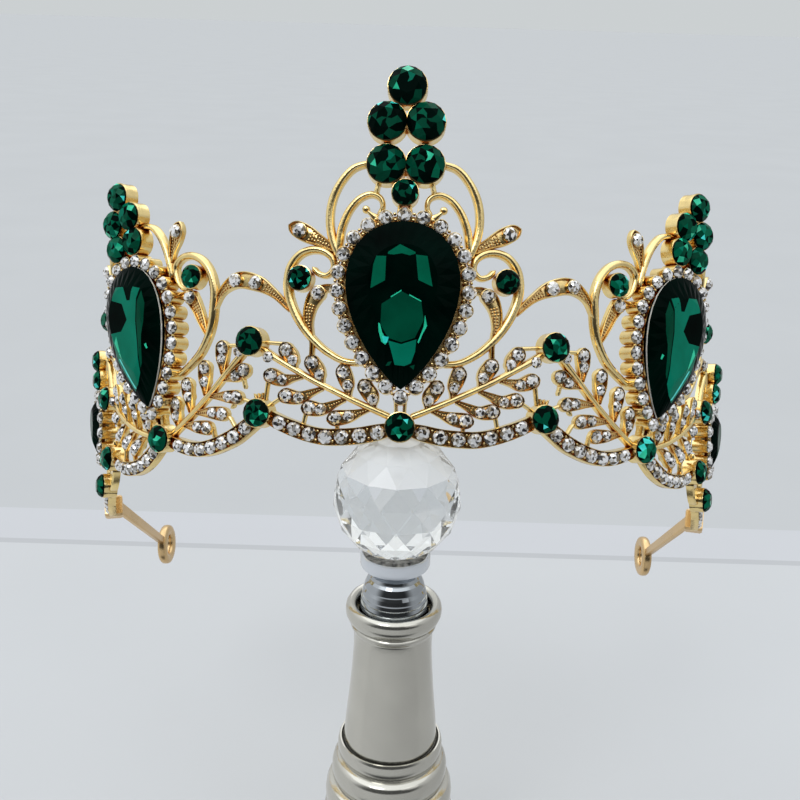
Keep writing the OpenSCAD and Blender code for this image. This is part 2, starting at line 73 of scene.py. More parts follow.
# A side motif slants: it draws towards the front by this share of its depth below SLANT_TOP
SIDE_SLANT, SLANT_TOP = 0.0555, 40.0
# How the ring lies on the ball: degrees that it is tipped up in front and turned, and its origin
TILT, TURN = 40.6, -1.2
RING_AT = np.array([1.7, 53.8, BALL_HEIGHT / MM - 33.25])

# Depths of the casting, outwards from its back
WIRE_FROM, WIRE_TOP = 0.2, 1.8
LEAF_FROM, LEAF_FLOOR, LEAF_RIM = 0.4, 1.05, 1.65
BAND_FLOOR, BAND_LOW_RIM, BAND_HIGH_RIM = 1.2, 1.75, 2.2
POST_FROM, POST_TOP = 0.3, 2.2
CUP_TOP, SCROLL_CUP_TOP, BORDER_TOP = 3.0, 2.4, 3.4
# How far a large cup reaches past the radius of its stone, and how far the stone is drawn out over its rim
CUP_RIM, STONE_OVER = 0.35, 0.18
# Depth of the flutes in the wall of a large cup, by the cup's radius
FLUTE = 0.045

# Cups: height of the top, reach past the stone, flutes round the wall, corners of the outline
Cup = namedtuple("Cup", "top rim flutes corners")
CREST_CUP, BASE_CUP = Cup(CUP_TOP, CUP_RIM, 12, 48), Cup(CUP_TOP, CUP_RIM, 10, 40)
SCROLL_CUP = Cup(SCROLL_CUP_TOP, CUP_RIM, 10, 24)
BORDER_CUP, BAND_CUP = Cup(BORDER_TOP - 0.05, 0.1, 0, 18), Cup(BAND_LOW_RIM - 0.1, 0.06, 0, 16)
PETAL_CUP, LEAF_CUP = Cup(LEAF_RIM, 0.14, 0, 16), Cup(LEAF_FLOOR + 0.25, 0.07, 0, 14)
# The stone at the tip of a fern's stem is let into the wire and has no cup
TIP_SEAT = Cup(WIRE_TOP, 0, 0, 0)

# Columns of every path: x, y, width
OUTER_ARC = (
    (7.0, 51.4, 1.3), (9.8, 50.6, 1.5), (12.4, 47.9, 1.6), (14.0, 44.4, 1.7), (14.4, 40.6, 1.7),
    (13.8, 37.0, 1.7), (12.2, 33.2, 1.9),
)
INNER_ARC = (
    (12.6, 34.6, 1.6), (11.8, 39.6, 1.6), (10.3, 42.8, 1.5), (8.4, 44.7, 1.4), (6.3, 45.3, 1.3),
    (4.6, 44.4, 1.2), (4.2, 42.8, 1.1), (5.0, 41.0, 1.2),
)
ARC_POST = ((5.0, 48.0, 1.3), (5.3, 46.6, 1.0), (5.6, 45.2, 1.2))
ARC_STEM = ((4.7, 39.7, 1.9), (5.6, 40.8, 1.5), (6.5, 41.5, 0.8), (7.4, 42.3, 0.8))
PETAL = ((12.8, 34.6, 1.2), (16.0, 36.6, 2.2), (19.2, 38.5, 3.4), (21.2, 39.7, 3.0), (22.4, 40.3, 2.2))
SIDE_PETAL = ((11.0, 38.2, 1.2), (12.0, 40.4, 2.0), (13.3, 42.6, 3.2), (14.2, 44.2, 3.2), (15.1, 45.7, 2.1))
SIDE_ARC = (
    (4.6, 47.8, 1.2), (7.1, 46.8, 1.4), (9.2, 43.9, 1.6), (10.1, 41.2, 1.6), (10.5, 38.2, 1.6),
    (10.4, 34.8, 1.8),
)
SCROLL = (
    (17.4, 31.6, 1.2), (16.2, 30.3, 1.2), (14.6, 29.9, 1.2), (13.4, 31.1, 1.3), (13.6, 33.0, 1.4),
    (15.2, 34.5, 1.5), (17.6, 35.1, 1.6), (20.0, 34.5, 1.7), (21.8, 32.6, 1.8), (22.5, 29.8, 1.9),
    (22.2, 26.6, 1.9), (21.0, 23.4, 1.8), (19.2, 20.3, 1.7), (16.8, 17.4, 1.6), (13.8, 14.8, 1.5),
    (10.6, 13.1, 1.4), (7.6, 12.7, 1.4),
)
SIDE_SCROLL = (
    (14.6, 32.0, 1.2), (13.6, 31.7, 1.2), (12.4, 32.6, 1.2), (11.9, 34.4, 1.3), (12.1, 37.0, 1.4),
    (14.1, 38.3, 1.5), (16.5, 38.2, 1.7), (18.6, 36.9, 1.8), (20.0, 34.6, 1.8), (20.4, 31.9, 1.9),
    (20.2, 29.6, 1.9), (19.4, 27.0, 1.9), (18.5, 24.5, 1.8), (17.4, 22.3, 1.7), (15.8, 20.1, 1.6),
    (13.9, 18.2, 1.6), (11.4, 16.6, 1.5), (7.2, 14.7, 1.4),
)
COMMA = (
    (13.0, 27.4, 1.4), (14.9, 27.3, 1.9), (16.4, 26.3, 3.2), (17.7, 23.9, 2.7), (18.0, 20.9, 1.9),
    (17.3, 18.0, 1.1), (17.2, 13.8, 1.0),
)
SIDE_COMMA = (
    (11.4, 30.6, 1.4), (12.9, 30.4, 2.0), (14.4, 29.7, 3.1), (15.4, 27.4, 2.7), (15.9, 24.9, 2.2),
    (16.4, 22.4, 1.4), (16.9, 20.9, 1.0),
)
FERN_STEM = (
    (1.8, 2.4, 1.4), (7.0, 4.7, 1.3), (12.0, 7.2, 1.3), (17.0, 9.9, 1.3), (21.0, 12.4, 1.3),
    (25.0, 15.0, 1.4), (27.8, 17.0, 1.5),
)
SIDE_STEM = ((1.8, 3.0, 1.4), (8.3, 6.0, 1.4), (14.5, 9.7, 1.3), (19.5, 13.3, 1.3), (26.0, 18.2, 1.6))
BAND = (
    (1.8, 0.1, 2.6), (4.2, -0.5, 3.2), (7.5, -1.1, 3.3), (10.9, -1.3, 3.3), (14.0, -1.2, 3.3),
    (17.1, -0.5, 3.2), (20.2, 0.7, 3.2), (23.2, 2.1, 3.0), (25.8, 3.6, 2.8),
)
SIDE_BAND = (
    (1.8, 1.8, 2.6), (4.0, 0.7, 3.0), (6.7, -0.4, 3.2), (9.4, -1.0, 3.2), (12.2, -1.0, 3.2),
    (15.1, -0.5, 3.2), (18.0, 0.3, 3.2), (21.0, 1.7, 3.0), (23.8, 3.2, 2.8),
)
BRIDGE = (
    (21.8, 23.8, 1.2), (25.4, 27.4, 1.8), (29.2, 29.9, 3.2), (33.7, 31.0, 3.2), (36.8, 29.4, 1.9),
    (38.8, 26.2, 1.3),
)
END_BRIDGE = (
    (18.7, 24.2, 1.2), (23.4, 27.6, 1.8), (27.9, 30.0, 3.2), (31.0, 30.4, 2.6), (34.0, 28.0, 1.8),
    (36.9, 25.4, 1.6),
)
END_SCROLL_OUT = (
    (1.6, 31.2, 1.2), (5.4, 30.6, 1.4), (8.6, 27.6, 1.6), (9.8, 23.4, 1.8), (9.2, 18.6, 1.8),
    (9.0, 13.6, 1.6), (9.8, 8.6, 1.6), (11.0, 3.0, 1.6), (11.1, -1.6, 1.6),
)
END_SCROLL_IN = ((-1.6, 31.2, 1.2), (-5.0, 29.6, 1.4), (-7.0, 26.0, 1.6), (-8.6, 20.6, 1.8))
END_LEAF_STEM = ((1.6, 1.6, 1.3), (5.4, 4.4, 1.3), (8.4, 7.2, 1.3), (10.4, 9.6, 1.3))
END_BAND_OUT = ((1.4, -0.6, 2.8), (4.4, -1.4, 3.2), (7.4, -2.0, 3.2), (10.2, -2.3, 3.2), (12.0, -2.4, 3.2))
END_BAND_IN = ((-1.4, -0.2, 2.8), (-4.8, 0.4, 3.0), (-8.4, 3.2, 3.0))
# Columns: x and y of the leaf's foot on the stem, of its near stone and of its far stone
LEAVES = (
    (20.4, 12.1, 20.9, 13.9, 22.4, 16.1), (14.8, 8.7, 15.5, 10.8, 17.1, 13.2),
    (9.6, 6.0, 10.0, 8.5, 10.9, 11.1), (4.9, 3.7, 5.2, 5.7, 6.7, 8.2),
    (18.4, 10.6, 23.0, 10.3, 25.4, 11.4), (14.2, 8.3, 19.6, 6.6, 22.2, 7.2),
    (9.8, 6.0, 15.1, 4.1, 17.4, 4.5), (5.4, 3.9, 9.7, 2.6, 12.3, 2.3),
)
SIDE_LEAVES = (
    (18.3, 12.5, 18.9, 16.0, 19.6, 18.2), (13.2, 9.0, 13.7, 12.3, 14.4, 15.0),
    (8.6, 6.3, 8.8, 10.0, 9.1, 12.4), (4.6, 4.3, 4.5, 6.8, 5.1, 9.2),
    (17.4, 11.8, 21.1, 12.2, 23.3, 13.1), (13.6, 9.2, 18.4, 8.4, 20.4, 8.0),
    (9.2, 6.5, 13.9, 5.8, 16.3, 5.2), (5.4, 4.7, 9.5, 3.6, 11.9, 3.0),
)
# Columns: x and y of one end of a small bar, x and y of the other
BARS = (
    (22.6, 17.2, 28.0, 18.2), (22.6, 7.2, 26.2, 5.4), (18.0, 4.2, 18.8, 0.6), (12.2, 2.2, 11.8, 0.0),
    (26.0, 11.4, 26.8, 5.6), (11.4, 12.0, 11.2, 13.4),
)
SIDE_BARS = (
    (20.0, 18.6, 25.6, 17.9), (22.6, 11.8, 22.6, 9.4), (21.4, 7.6, 23.6, 6.4), (19.6, 7.0, 18.6, 6.0),
    (17.6, 4.6, 18.6, 1.8), (13.2, 3.4, 13.2, 0.4),
)
# Columns of the posts between pear and crest, and between base stone and end pear: x, y, width
CENTER_POST = ((1.2, 41.0, 0.8), (0.9, 43.4, 0.8))
SIDE_POST = ((0, 41.0, 5.0), (0, 43.4, 5.0))
END_POST = ((0, 2.6, 1.9), (0, 6.4, 1.9))
# The ball on the stem inside the arc: its place, then its height, radius and corners
ARC_BALL_X, ARC_BALL_Y, ARC_BALL = 7.4, 42.4, (0.9, 0.8, 12)

# Columns of every green stone: x, y, radius
CENTER_CREST = ((0, 65.9, 3.6), (3.6, 59.0, 3.6), (3.6, 50.7, 3.6), (0, 45.2, 2.35))
SIDE_CREST = ((0, 55.6, 2.75), (2.8, 50.4, 2.75), (2.8, 44.9, 2.7))
END_CREST = ((0, 26.5, 2.3), (0, 31.4, 2.3))
CENTER_BASE, SIDE_BASE, END_BASE = (0, 0.5, 2.6), (0, 2.9, 2.6), (0, 0.6, 2.5)
# Columns of the stones between two motifs: angle, y, radius
LINKS = ((21.2, 18.4, 2.65), (20.9, 4.3, 2.55), (59.6, 18.4, 2.5), (59.6, 4.4, 2.5))

# Columns of a pear stone: y of its tip, length, half width, stones in half of its border, the angle round
# its outline at which they start, heights of its girdle and table
Pear = namedtuple("Pear", "tip length half stones start girdle table")
CENTER_PEAR = Pear(7.8, 31.4, 10.7, 12, 24, 0.7, 2.6)
SIDE_PEAR = Pear(10.0, 29.4, 8.9, 12, 24, 0.7, 2.6)
END_PEAR = Pear(8.6, 12.4, 4.1, 5, 40, 0.42, 1.56)
# A pear's outline: the power that draws in its tip, the peak of that curve and the share of the length
# where it lies, and how much wider the stone is than its seat
PEAR_ROUND, PEAR_PEAK, PEAR_WIDEST, PEAR_FILL = 0.725, 0.8167, 0.63, 1.015
# How far outside a pear its border stones lie, and how far below its tip the lowest one lies
BORDER_OUT, DROP_OUT = 1.5, 1.75
# Clear stones on a band and on an end band, and radii of the clear stones
BAND_STONES, END_BAND_STONES = 7, 3
BORDER_R, BAND_R, PETAL_R, FAR_R, NEAR_R = 1.4, 1.42, 1.38, 1.3, 1.12
# Radii of the grains round an end pear and between the stones of a band
END_PRONG, BAND_GRAIN = 0.28, 0.32

Motif = namedtuple(
    "Motif",
    "pear crest base stem tip_stone band leaves bars "
    "scroll scroll_stone comma comma_stone petal petal_stone",
)
CENTER = Motif(
    CENTER_PEAR, CENTER_CREST, CENTER_BASE, FERN_STEM, (25.9, 15.0), BAND, LEAVES, BARS, SCROLL,
    (19.7, 29.6, 2.2), COMMA, (16.2, 26.5), PETAL, (20.2, 39.0),
)
SIDE = Motif(
    SIDE_PEAR, SIDE_CREST, SIDE_BASE, SIDE_STEM, (23.3, 16.9), SIDE_BAND, SIDE_LEAVES, SIDE_BARS, SIDE_SCROLL,
    (16.4, 33.6, 2.2), SIDE_COMMA, (14.4, 29.8), SIDE_PETAL, (13.9, 44.0),
)
MOTIFS = ((0, CENTER), (SIDE_ANGLE, SIDE), (-SIDE_ANGLE, SIDE))

# Sections of the casting: share of the half width, share of the depth
RIDGED = ((-1, 0), (-1, 0.45), (-0.86, 0.72), (-0.56, 0.92), (-0.2, 1), (0.2, 1), (0.56, 0.92), (0.86, 0.72),
          (1, 0.45), (1, 0))
PLATE = ((-1, 0), (-1, 0.8), (-0.85, 1), (0.85, 1), (1, 0.8), (1, 0))
ROUNDED = ((-1, 0), (-1, 0.6), (-0.7, 0.9), (-0.25, 1), (0.25, 1), (0.7, 0.9), (1, 0.6), (1, 0))


def lean_at(angle):
    """Outward flare, in degrees, at an angle round the ring."""
    return FLARE - (FLARE - END_FLARE) * np.clip((np.abs(angle) - FLARE_FROM) / FLARE_OVER, 0, 1)


def slant_of(phi):
    """Slant of what stands at an angle: only side motifs have one."""
    return -math.copysign(SIDE_SLANT, phi) if abs(phi) == SIDE_ANGLE else 0.0


def around(phi, x, y):
    """Angle round the ring of a place x along it from the middle of a motif."""
    drawn = x + slant_of(phi) * np.maximum(0, SLANT_TOP - y)
    return phi + np.degrees(drawn / (RING_R + y * math.sin(math.radians(lean_at(phi)))))


def slope_point(angle, y, n):
    """A point of the ring's own frame from its angle, its height up the slope and its depth."""
    lean, turn = np.radians(lean_at(angle)), np.radians(angle)
    ring = RING_R - RING_TAPER * np.maximum(0, np.abs(angle) - FLARE_FROM)
    out = ring + y * np.sin(lean) + n * np.cos(lean)
    return np.stack([out * np.sin(turn), -out * np.cos(turn), y * np.cos(lean) - n * np.sin(lean)], axis=-1)


def spot(phi, x, y, n):
    """Points of the ring's own frame from places on a motif."""
    x, y, n = np.broadcast_arrays(np.asarray(x, float), np.asarray(y, float), np.asarray(n, float))
    return slope_point(around(phi, x, y), y, n)


def seat(phi, x, y):
    """Origin and axes of a flat spot: along the ring, up its slope and outwards."""
    angle = around(phi, x, y)
    turn, lean = math.radians(angle), math.radians(lean_at(angle))
    along = (math.cos(turn), math.sin(turn), 0)
    up = (math.sin(turn) * math.sin(lean), -math.cos(turn) * math.sin(lean), math.cos(lean))
    out = (math.sin(turn) * math.cos(lean), -math.cos(turn) * math.cos(lean), -math.sin(lean))
    return slope_point(angle, y, 0.0), np.array([along, up, out])


def on_seat(phi, x, y, local):
    """Points of the ring's own frame from points seen from a flat spot."""
    origin, axes = seat(phi, x, y)
    return origin + np.asarray(local, float) @ axes


def placed(points):
    """From the ring's own frame to the part's."""
    turn, tilt = math.radians(TURN), math.radians(TILT)
    x, y, z = points[:, 0], points[:, 1], points[:, 2]
    x, y = x * math.cos(turn) - y * math.sin(turn), x * math.sin(turn) + y * math.cos(turn)
    y, z = y * math.cos(tilt) + z * math.sin(tilt), z * math.cos(tilt) - y * math.sin(tilt)
    return np.stack([x, y, z], axis=1) + RING_AT


def flip(rows, side):
    """Rows for one side of a motif: 1 for the right, -1 for the left."""
    return [(side * row[0], *row[1:]) for row in rows]


def linked(name, data):
    """Makes an object of its data and links it to the scene."""
    made = bpy.data.objects.new(name, data)
    bpy.context.scene.collection.objects.link(made)
    return made


class Casting:
    """Gathers the points and faces of one piece, in millimetres of the ring's own frame or the part's."""

    def __init__(self):
        self.points, self.faces, self.slots, self.count = [], [], [], 0

    def add(self, points, faces, slot=0):
        """Adds faces with one material number for all of them or one for each."""
        points = np.asarray(points, float).reshape(-1, 3)
        self.points.append(points)
        self.faces += [tuple(i + self.count for i in face) for face in faces]
        self.slots += [slot] * len(faces) if isinstance(slot, int) else list(slot)
        self.count += len(points)

    def finish(self, name, materials, slot, replaced, crease=None, on_ring=True):
        """Makes the object. Faces that meet at more than crease degrees keep a sharp edge.

        With on_ring the points are moved from the ring's own frame to the part's.
        """
        points = np.concatenate(self.points)
        points = (placed(points) if on_ring else points) * MM
        mesh = bpy.data.meshes.new(name)
        mesh.from_pydata(points.tolist(), [], self.faces)
        for material in materials:
            mesh.materials.append(material)
        mesh.polygons.foreach_set("material_index", self.slots)
        shape = bmesh.new()
        shape.from_mesh(mesh)
        bmesh.ops.recalc_face_normals(shape, faces=shape.faces)
        shape.to_mesh(mesh)
        shape.free()
        if crease is not None:
            mesh.shade_smooth()
            mesh.set_sharp_from_angle(angle=math.radians(crease))
        made = linked(name, mesh)
        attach(made, "root")
        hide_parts(*replaced)


def circle(radius, height, count, shift=0.0):
    """Corners of a level ring, turned by a share of the angle between two of them."""
    turns = [2 * math.pi * (k + shift) / count for k in range(count)]
    return [(radius * math.cos(turn), radius * math.sin(turn), height) for turn in turns]


def strip(low, high, count):
    """Faces between two rings of points, from the numbers of their first points."""
    ahead = [(j + 1) % count for j in range(count)]
    return [(low + j, low + k, high + k, high + j) for j, k in enumerate(ahead)]


def tube_faces(rows, count):
    """Faces of a closed tube of rows, each with count points, capped at both ends."""
    faces = [face for i in range(rows - 1) for face in strip(i * count, (i + 1) * count, count)]
    last = (rows - 1) * count
    return [*faces, tuple(range(count))[::-1], tuple(last + j for j in range(count))]


def run_of(points):
    """How far along a line of points each of them lies."""
    return np.concatenate([[0], np.cumsum(np.linalg.norm(np.diff(points, axis=0), axis=1))])


def smooth_path(rows, step=0.45):
    """A smooth run of points through rows of x, y and width."""
    rows = np.array(rows, float)
    knots = run_of(rows[:, :2])
    slopes = np.gradient(rows, knots, axis=0)
    at = np.linspace(0, knots[-1], max(3, int(knots[-1] / step) + 1))
    i = np.clip(np.searchsorted(knots, at, side="right") - 1, 0, len(rows) - 2)
    span = (knots[i + 1] - knots[i])[:, None]
    u = (at - knots[i])[:, None] / span
    start, end = rows[i], rows[i + 1]
    return (
        (2 * u**3 - 3 * u**2 + 1) * start + (u**3 - 2 * u**2 + u) * span * slopes[i]
        + (3 * u**2 - 2 * u**3) * end + (u**3 - u**2) * span * slopes[i + 1]
    )


def sides_of(path):
    """Unit vectors to the left of a path."""
    ahead = np.gradient(path[:, :2], axis=0)
    ahead /= np.maximum(np.linalg.norm(ahead, axis=1), 1e-6)[:, None]
    return np.stack([-ahead[:, 1], ahead[:, 0]], axis=1)


def rounded_widths(path, ends):
    """Widths that close in a half circle at the ends that are round."""
    run = run_of(path[:, :2])
    width = path[:, 2].copy()
    for is_round, from_end in zip(ends, (run, run[-1] - run)):
        if is_round:
            share = np.clip(from_end / (path[:, 2] / 2), 0.04, 1)
            width = width * np.sqrt(1 - (1 - share) ** 2)
    return width


def wire(casting, phi, rows, section=RIDGED, bottom=WIRE_FROM, top=WIRE_TOP, ends=(True, True), smooth=True):
    """A cast wire along rows of x, y and width."""
    path = smooth_path(rows) if smooth else np.array(rows, float)
    width = rounded_widths(path, ends)
    side = sides_of(path)
    across, deep = np.array(section, float).T
    x = path[:, 0, None] + side[:, 0, None] * across * width[:, None] / 2
    y = path[:, 1, None] + side[:, 1, None] * across * width[:, None] / 2
    n = bottom + (top - bottom) * deep + 0 * x
    casting.add(spot(phi, x, y, n), tube_faces(len(path), len(section)))


def edge_path(path, width, sign, inset):
    """A line beside a path, set in from its left edge with sign 1 and from its right edge with -1."""
    half = np.maximum(width / 2 - inset, 0.02)[:, None]
    return path[:, :2] + sign * sides_of(path) * half


def framed_leaf(casting, phi, rows, rim=0.42, ends=(False, True)):
    """A leaf with a sunk floor and a raised rim, which goes round its far end where that is round."""
    wire(casting, phi, rows, PLATE, LEAF_FROM, LEAF_FLOOR, ends)
    path = smooth_path(rows)
    width = rounded_widths(path, ends)
    left, right = (edge_path(path, width, sign, rim / 2) for sign in (1, -1))
    runs = [np.concatenate([left, right[::-1]])] if ends == (False, True) else [left, right]
    for run in runs:
        wire(casting, phi, [(x, y, rim) for x, y in run], ROUNDED, LEAF_FROM, LEAF_RIM, smooth=False)


def bead(casting, phi, x, y, n, r, steps=8):
    """A small round grain or prong, half sunk at height n."""
    levels = ((1.0, -0.35), (0.95, 0.3), (0.62, 0.78))
    local = [corner for share, high in levels for corner in circle(r * share, n + r * high, steps)]
    tip, last = len(local), (len(levels) - 1) * steps
    faces = [face for i in range(len(levels) - 1) for face in strip(i * steps, (i + 1) * steps, steps)]
    faces += [(last + j, last + (j + 1) % steps, tip) for j in range(steps)]
    casting.add(on_seat(phi, x, y, [*local, (0, 0, n + r)]), faces)


def cup(casting, phi, x, y, r, held):
    """The cup of a stone: a wall, fluted where the cup is large, and a thin rim that leans over the stone."""
    # Columns: share of the radius, share of the height, depth of the flutes
    levels = (
        (1.0, 0.0, 0), (1.0, 0.25, FLUTE), (0.985, 0.55, FLUTE), (1.0, 0.9, 0), (0.985, 1.0, 0),
        (0.9, 1.02, 0), (0.86, 0.96, 0),
    )
    local = []
    for share, high, sunk in levels:
        for k in range(held.corners):
            turn = 2 * math.pi * k / held.corners
            flute = sunk * (0.5 + 0.5 * math.cos(held.flutes * turn)) if held.flutes else 0.0
            radius = (r + held.rim) * (share - flute)
            local.append((radius * math.cos(turn), radius * math.sin(turn), held.top * high))
    casting.add(on_seat(phi, x, y, local), tube_faces(len(levels), held.corners))


def pear_edge(pear, t):
    """The outline of a pear stone: t runs from 0 at its tip to 180 at its round end, in degrees."""
    turn = np.radians(t)
    x = pear.half * np.sin(turn) * np.abs(np.sin(turn / 2)) ** PEAR_ROUND / PEAR_PEAK
    return np.stack([x, pear.tip + pear.length * (1 - np.cos(turn)) / 2 + 0 * x], axis=-1)


def pear_normal(pear, t):
    """Unit vectors that point straight out of a pear's outline."""
    ahead = pear_edge(pear, t + 1) - pear_edge(pear, t - 1)
    ahead /= np.linalg.norm(ahead, axis=-1, keepdims=True)
    return np.stack([ahead[..., 1], -ahead[..., 0]], axis=-1)


def pear_middle(pear):
    """The place on a pear's axis where it is widest."""
    return np.array([0, pear.tip + PEAR_WIDEST * pear.length])


def border_spots(pear):
    """Rows of x, y and outward normal for the clear stones round a pear, equally spaced."""
    t = np.arange(pear.start, 181, 4)
    run = run_of(pear_edge(pear, t) + BORDER_OUT * pear_normal(pear, t))
    at = np.interp(run[-1] * np.arange(pear.stones + 1) / pear.stones, run, t)
    normal = pear_normal(pear, at)
    half = np.concatenate([pear_edge(pear, at) + BORDER_OUT * normal, normal], axis=1)
    other = half[:-1][::-1] * (-1, 1, -1, 1)
    return np.concatenate([[(0, pear.tip - DROP_OUT, 0, -1)], half, other])


def pear_seat(casting, phi, pear, prong):
    """The wall behind a pear stone, the floor under its border and the grains between the border's cups."""
    t = np.arange(0, 360, 6)
    middle = pear_middle(pear)
    # Columns: height, share of the outline
    levels = ((0.0, 0.975), (BORDER_TOP - 0.25, 0.975), (BORDER_TOP, 0.96))
    points = []
    for high, share in levels:
        row = middle + (pear_edge(pear, t) - middle) * share
        points.append(spot(phi, row[:, 0], row[:, 1], high))
    casting.add(points, tube_faces(len(levels), len(t)))
    t = np.arange(14, 347, 4)
    floor = pear_edge(pear, t) + (BORDER_OUT / 2 - 0.1) * pear_normal(pear, t)
    rows = [(x, y, BORDER_OUT + 0.5) for x, y in floor]
    wire(casting, phi, rows, PLATE, LEAF_FROM, BORDER_TOP - 0.9, ends=(False, False), smooth=False)
    spots = border_spots(pear)
    for here, beyond in zip(spots, np.roll(spots, -1, axis=0)):
        x, y, across, up = (here + beyond) / 2
        for reach in (-0.75, 0.4):
            bead(casting, phi, x + reach * across, y + reach * up, BORDER_TOP, prong)


def grains(casting, phi, rows, start, end, r=0.27, pitch=0.62):
    """Cast grains that cover a leaf's floor between two shares of its length."""
    step, apart, margin, stagger = 0.1, 0.6, 0.7, 0.12
    path = smooth_path(rows, step)
    side = sides_of(path)
    first = int(start * len(path))
    for number in range(first, int(end * len(path)), int(pitch / step)):
        x, y, width = path[number]
        wide = max(1, int((width - margin) / apart))
        offset = (stagger if (number - first) % 2 else -stagger) * (wide > 1)
        for k in range(wide):
            shift = (k - (wide - 1) / 2) * apart + offset
            bead(casting, phi, x + side[number, 0] * shift, y + side[number, 1] * shift, LEAF_FLOOR, r, 6)


def leaf_rows(leaf):
    """Spine and width of a fern leaf that holds a near and a far stone."""
    foot, near, far = np.array(leaf).reshape(3, 2)
    ahead = (far - near) / np.linalg.norm(far - near)
    spine = (foot + (near - foot) * 0.12, (foot + near) / 2, near, far, far + ahead * 1.5)
    return [(*place, width) for place, width in zip(spine, (0.9, 1.5, 2.6, 3.1, 3.0))]


def fern(casting, phi, side, motif):
    """The stem of a fern, its leaves and the small bars between them."""
    wire(casting, phi, flip(motif.stem, side))
    for leaf in motif.leaves:
        rows = flip(leaf_rows(leaf), side)
        framed_leaf(casting, phi, rows, rim=0.28)
        grains(casting, phi, rows, start=0.08, end=0.4, r=0.24, pitch=0.55)
    for x0, y0, x1, y1 in motif.bars:
        rows = flip([(x0, y0, 0.95), ((x0 + x1) / 2, (y0 + y1) / 2, 0.8), (x1, y1, 0.95)], side)
        wire(casting, phi, rows, ROUNDED, LEAF_FROM, top=1.35)


def band(casting, phi, rows, stones):
    """A lower band: a floor, a high rim above, a low rim below, and grains between its stones."""
    wire(casting, phi, rows, PLATE, 0.0, BAND_FLOOR, ends=(False, False))
    path = smooth_path(rows)
    turned_up = 1 if rows[-1][0] > rows[0][0] else -1
    for sign, high, rim in ((turned_up, BAND_HIGH_RIM, 0.32), (-turned_up, BAND_LOW_RIM, 0.34)):
        run = edge_path(path, path[:, 2], sign, rim / 2)
        wire(casting, phi, [(x, y, rim) for x, y in run], ROUNDED, 0.0, high, smooth=False)
    spots = np.array([row[:2] for row in rows[1:1 + stones]])
    for here, beyond in zip(spots, spots[1:]):
        ahead = beyond - here
        normal = np.array([-ahead[1], ahead[0]]) / np.linalg.norm(ahead)
        for reach in (-0.85, 0.85):
            bead(casting, phi, *(here + ahead / 2 + reach * normal), BAND_LOW_RIM, BAND_GRAIN)


def crest_bars(casting, phi, crest):
    """Flat bars behind a crest, from each stone to the next."""
    for (x0, y0, _), (x1, y1, _) in zip(crest, crest[1:]):
        for side in (-1, 1):
            wire(casting, phi, flip([(x0, y0, 1.5), (x1, y1, 1.5)], side), PLATE)


def motif_half(casting, phi, side, motif):
    """The fern, band, scroll, comma and petal on one side of a motif."""
    fern(casting, phi, side, motif)
    band(casting, phi, flip(motif.band, side), BAND_STONES)
    wire(casting, phi, flip(motif.scroll, side))
    comma, petal = flip(motif.comma, side), flip(motif.petal, side)
    framed_leaf(casting, phi, comma, rim=0.4, ends=(True, False))
    grains(casting, phi, comma, start=0.36, end=0.8)
    framed_leaf(casting, phi, petal)
    grains(casting, phi, petal, start=0.12, end=0.6)


def motif_middle(casting, phi, motif, prong):
    """The pear's seat, the crest's bars and the twin wires from the base stone to the pear."""
    pear_seat(casting, phi, motif.pear, prong)
    crest_bars(casting, phi, motif.crest)
    low, high = motif.base[1] + 2.0, motif.pear.tip - 1.4
    for x in (-0.75, 0.75):
        rows = [(x, low, 0.8), (x * 1.1, (low + high) / 2, 0.8), (x * 1.3, high, 0.8)]
        wire(casting, phi, rows, ROUNDED, POST_FROM, POST_TOP)


def center_motif(casting, prong):
    """The front motif, with the double arc round its crest."""
    motif_middle(casting, 0, CENTER, prong)
    for side in (-1, 1):
        motif_half(casting, 0, side, CENTER)
        wire(casting, 0, flip(CENTER_POST, side), ROUNDED, POST_FROM, POST_TOP)
        for path in (OUTER_ARC, INNER_ARC):
            wire(casting, 0, flip(path, side))
        wire(casting, 0, flip(ARC_POST, side), ROUNDED)
        wire(casting, 0, flip(ARC_STEM, side), ROUNDED, LEAF_FROM, top=1.4)
        bead(casting, 0, side * ARC_BALL_X, ARC_BALL_Y, *ARC_BALL)


def side_motif(casting, phi, prong):
    """A motif beside the front one, with a single arc round its crest."""
    motif_middle(casting, phi, SIDE, prong)
    wire(casting, phi, SIDE_POST, PLATE)
    for side in (-1, 1):
        motif_half(casting, phi, side, SIDE)
        wire(casting, phi, flip(SIDE_ARC, side))


def end_motif(casting, phi):
    """The small motif at an end of the ring."""
    out = 1 if phi > 0 else -1
    pear_seat(casting, phi, END_PEAR, END_PRONG)
    crest_bars(casting, phi, END_CREST)
    wire(casting, phi, END_POST, ROUNDED, top=2.0)
    for path in (END_SCROLL_OUT, END_SCROLL_IN, END_LEAF_STEM):
        wire(casting, phi, flip(path, out))
    band(casting, phi, flip(END_BAND_OUT, out), END_BAND_STONES)
    wire(casting, phi, flip(END_BAND_IN, out), PLATE, 0.0, BAND_LOW_RIM)


def bridges(casting, side):
    """The framed leaves that reach from motif to motif on one side."""
    for phi, path in ((0, BRIDGE), (side * SIDE_ANGLE, END_BRIDGE)):
        rows = flip(path, side)
        framed_leaf(casting, phi, rows, ends=(False, False))
        grains(casting, phi, rows, start=0.12, end=0.36)
        grains(casting, phi, rows, start=0.66, end=0.9)


def link_stubs(casting, side):
    """The small three-pointed stub over the lower stone of each pair between two motifs."""
    for angle, y, _ in LINKS[1::2]:
        for lean in (-0.9, 0.0, 0.9):
            rows = [(lean * 0.4, y + 2.4, 0.75), (lean, y + 3.9, 0.65)]
            wire(casting, side * angle, rows, ROUNDED, LEAF_FROM, top=1.7)


# Kinds of facet of a round stone. Its table is split into wedges, as its back shows through, and the
# parts of a wedge share the tone of its first part, so the light of the back is painted on the table
GIRDLE, KITE, STAR, BREAK, TABLE, SAME = range(6)
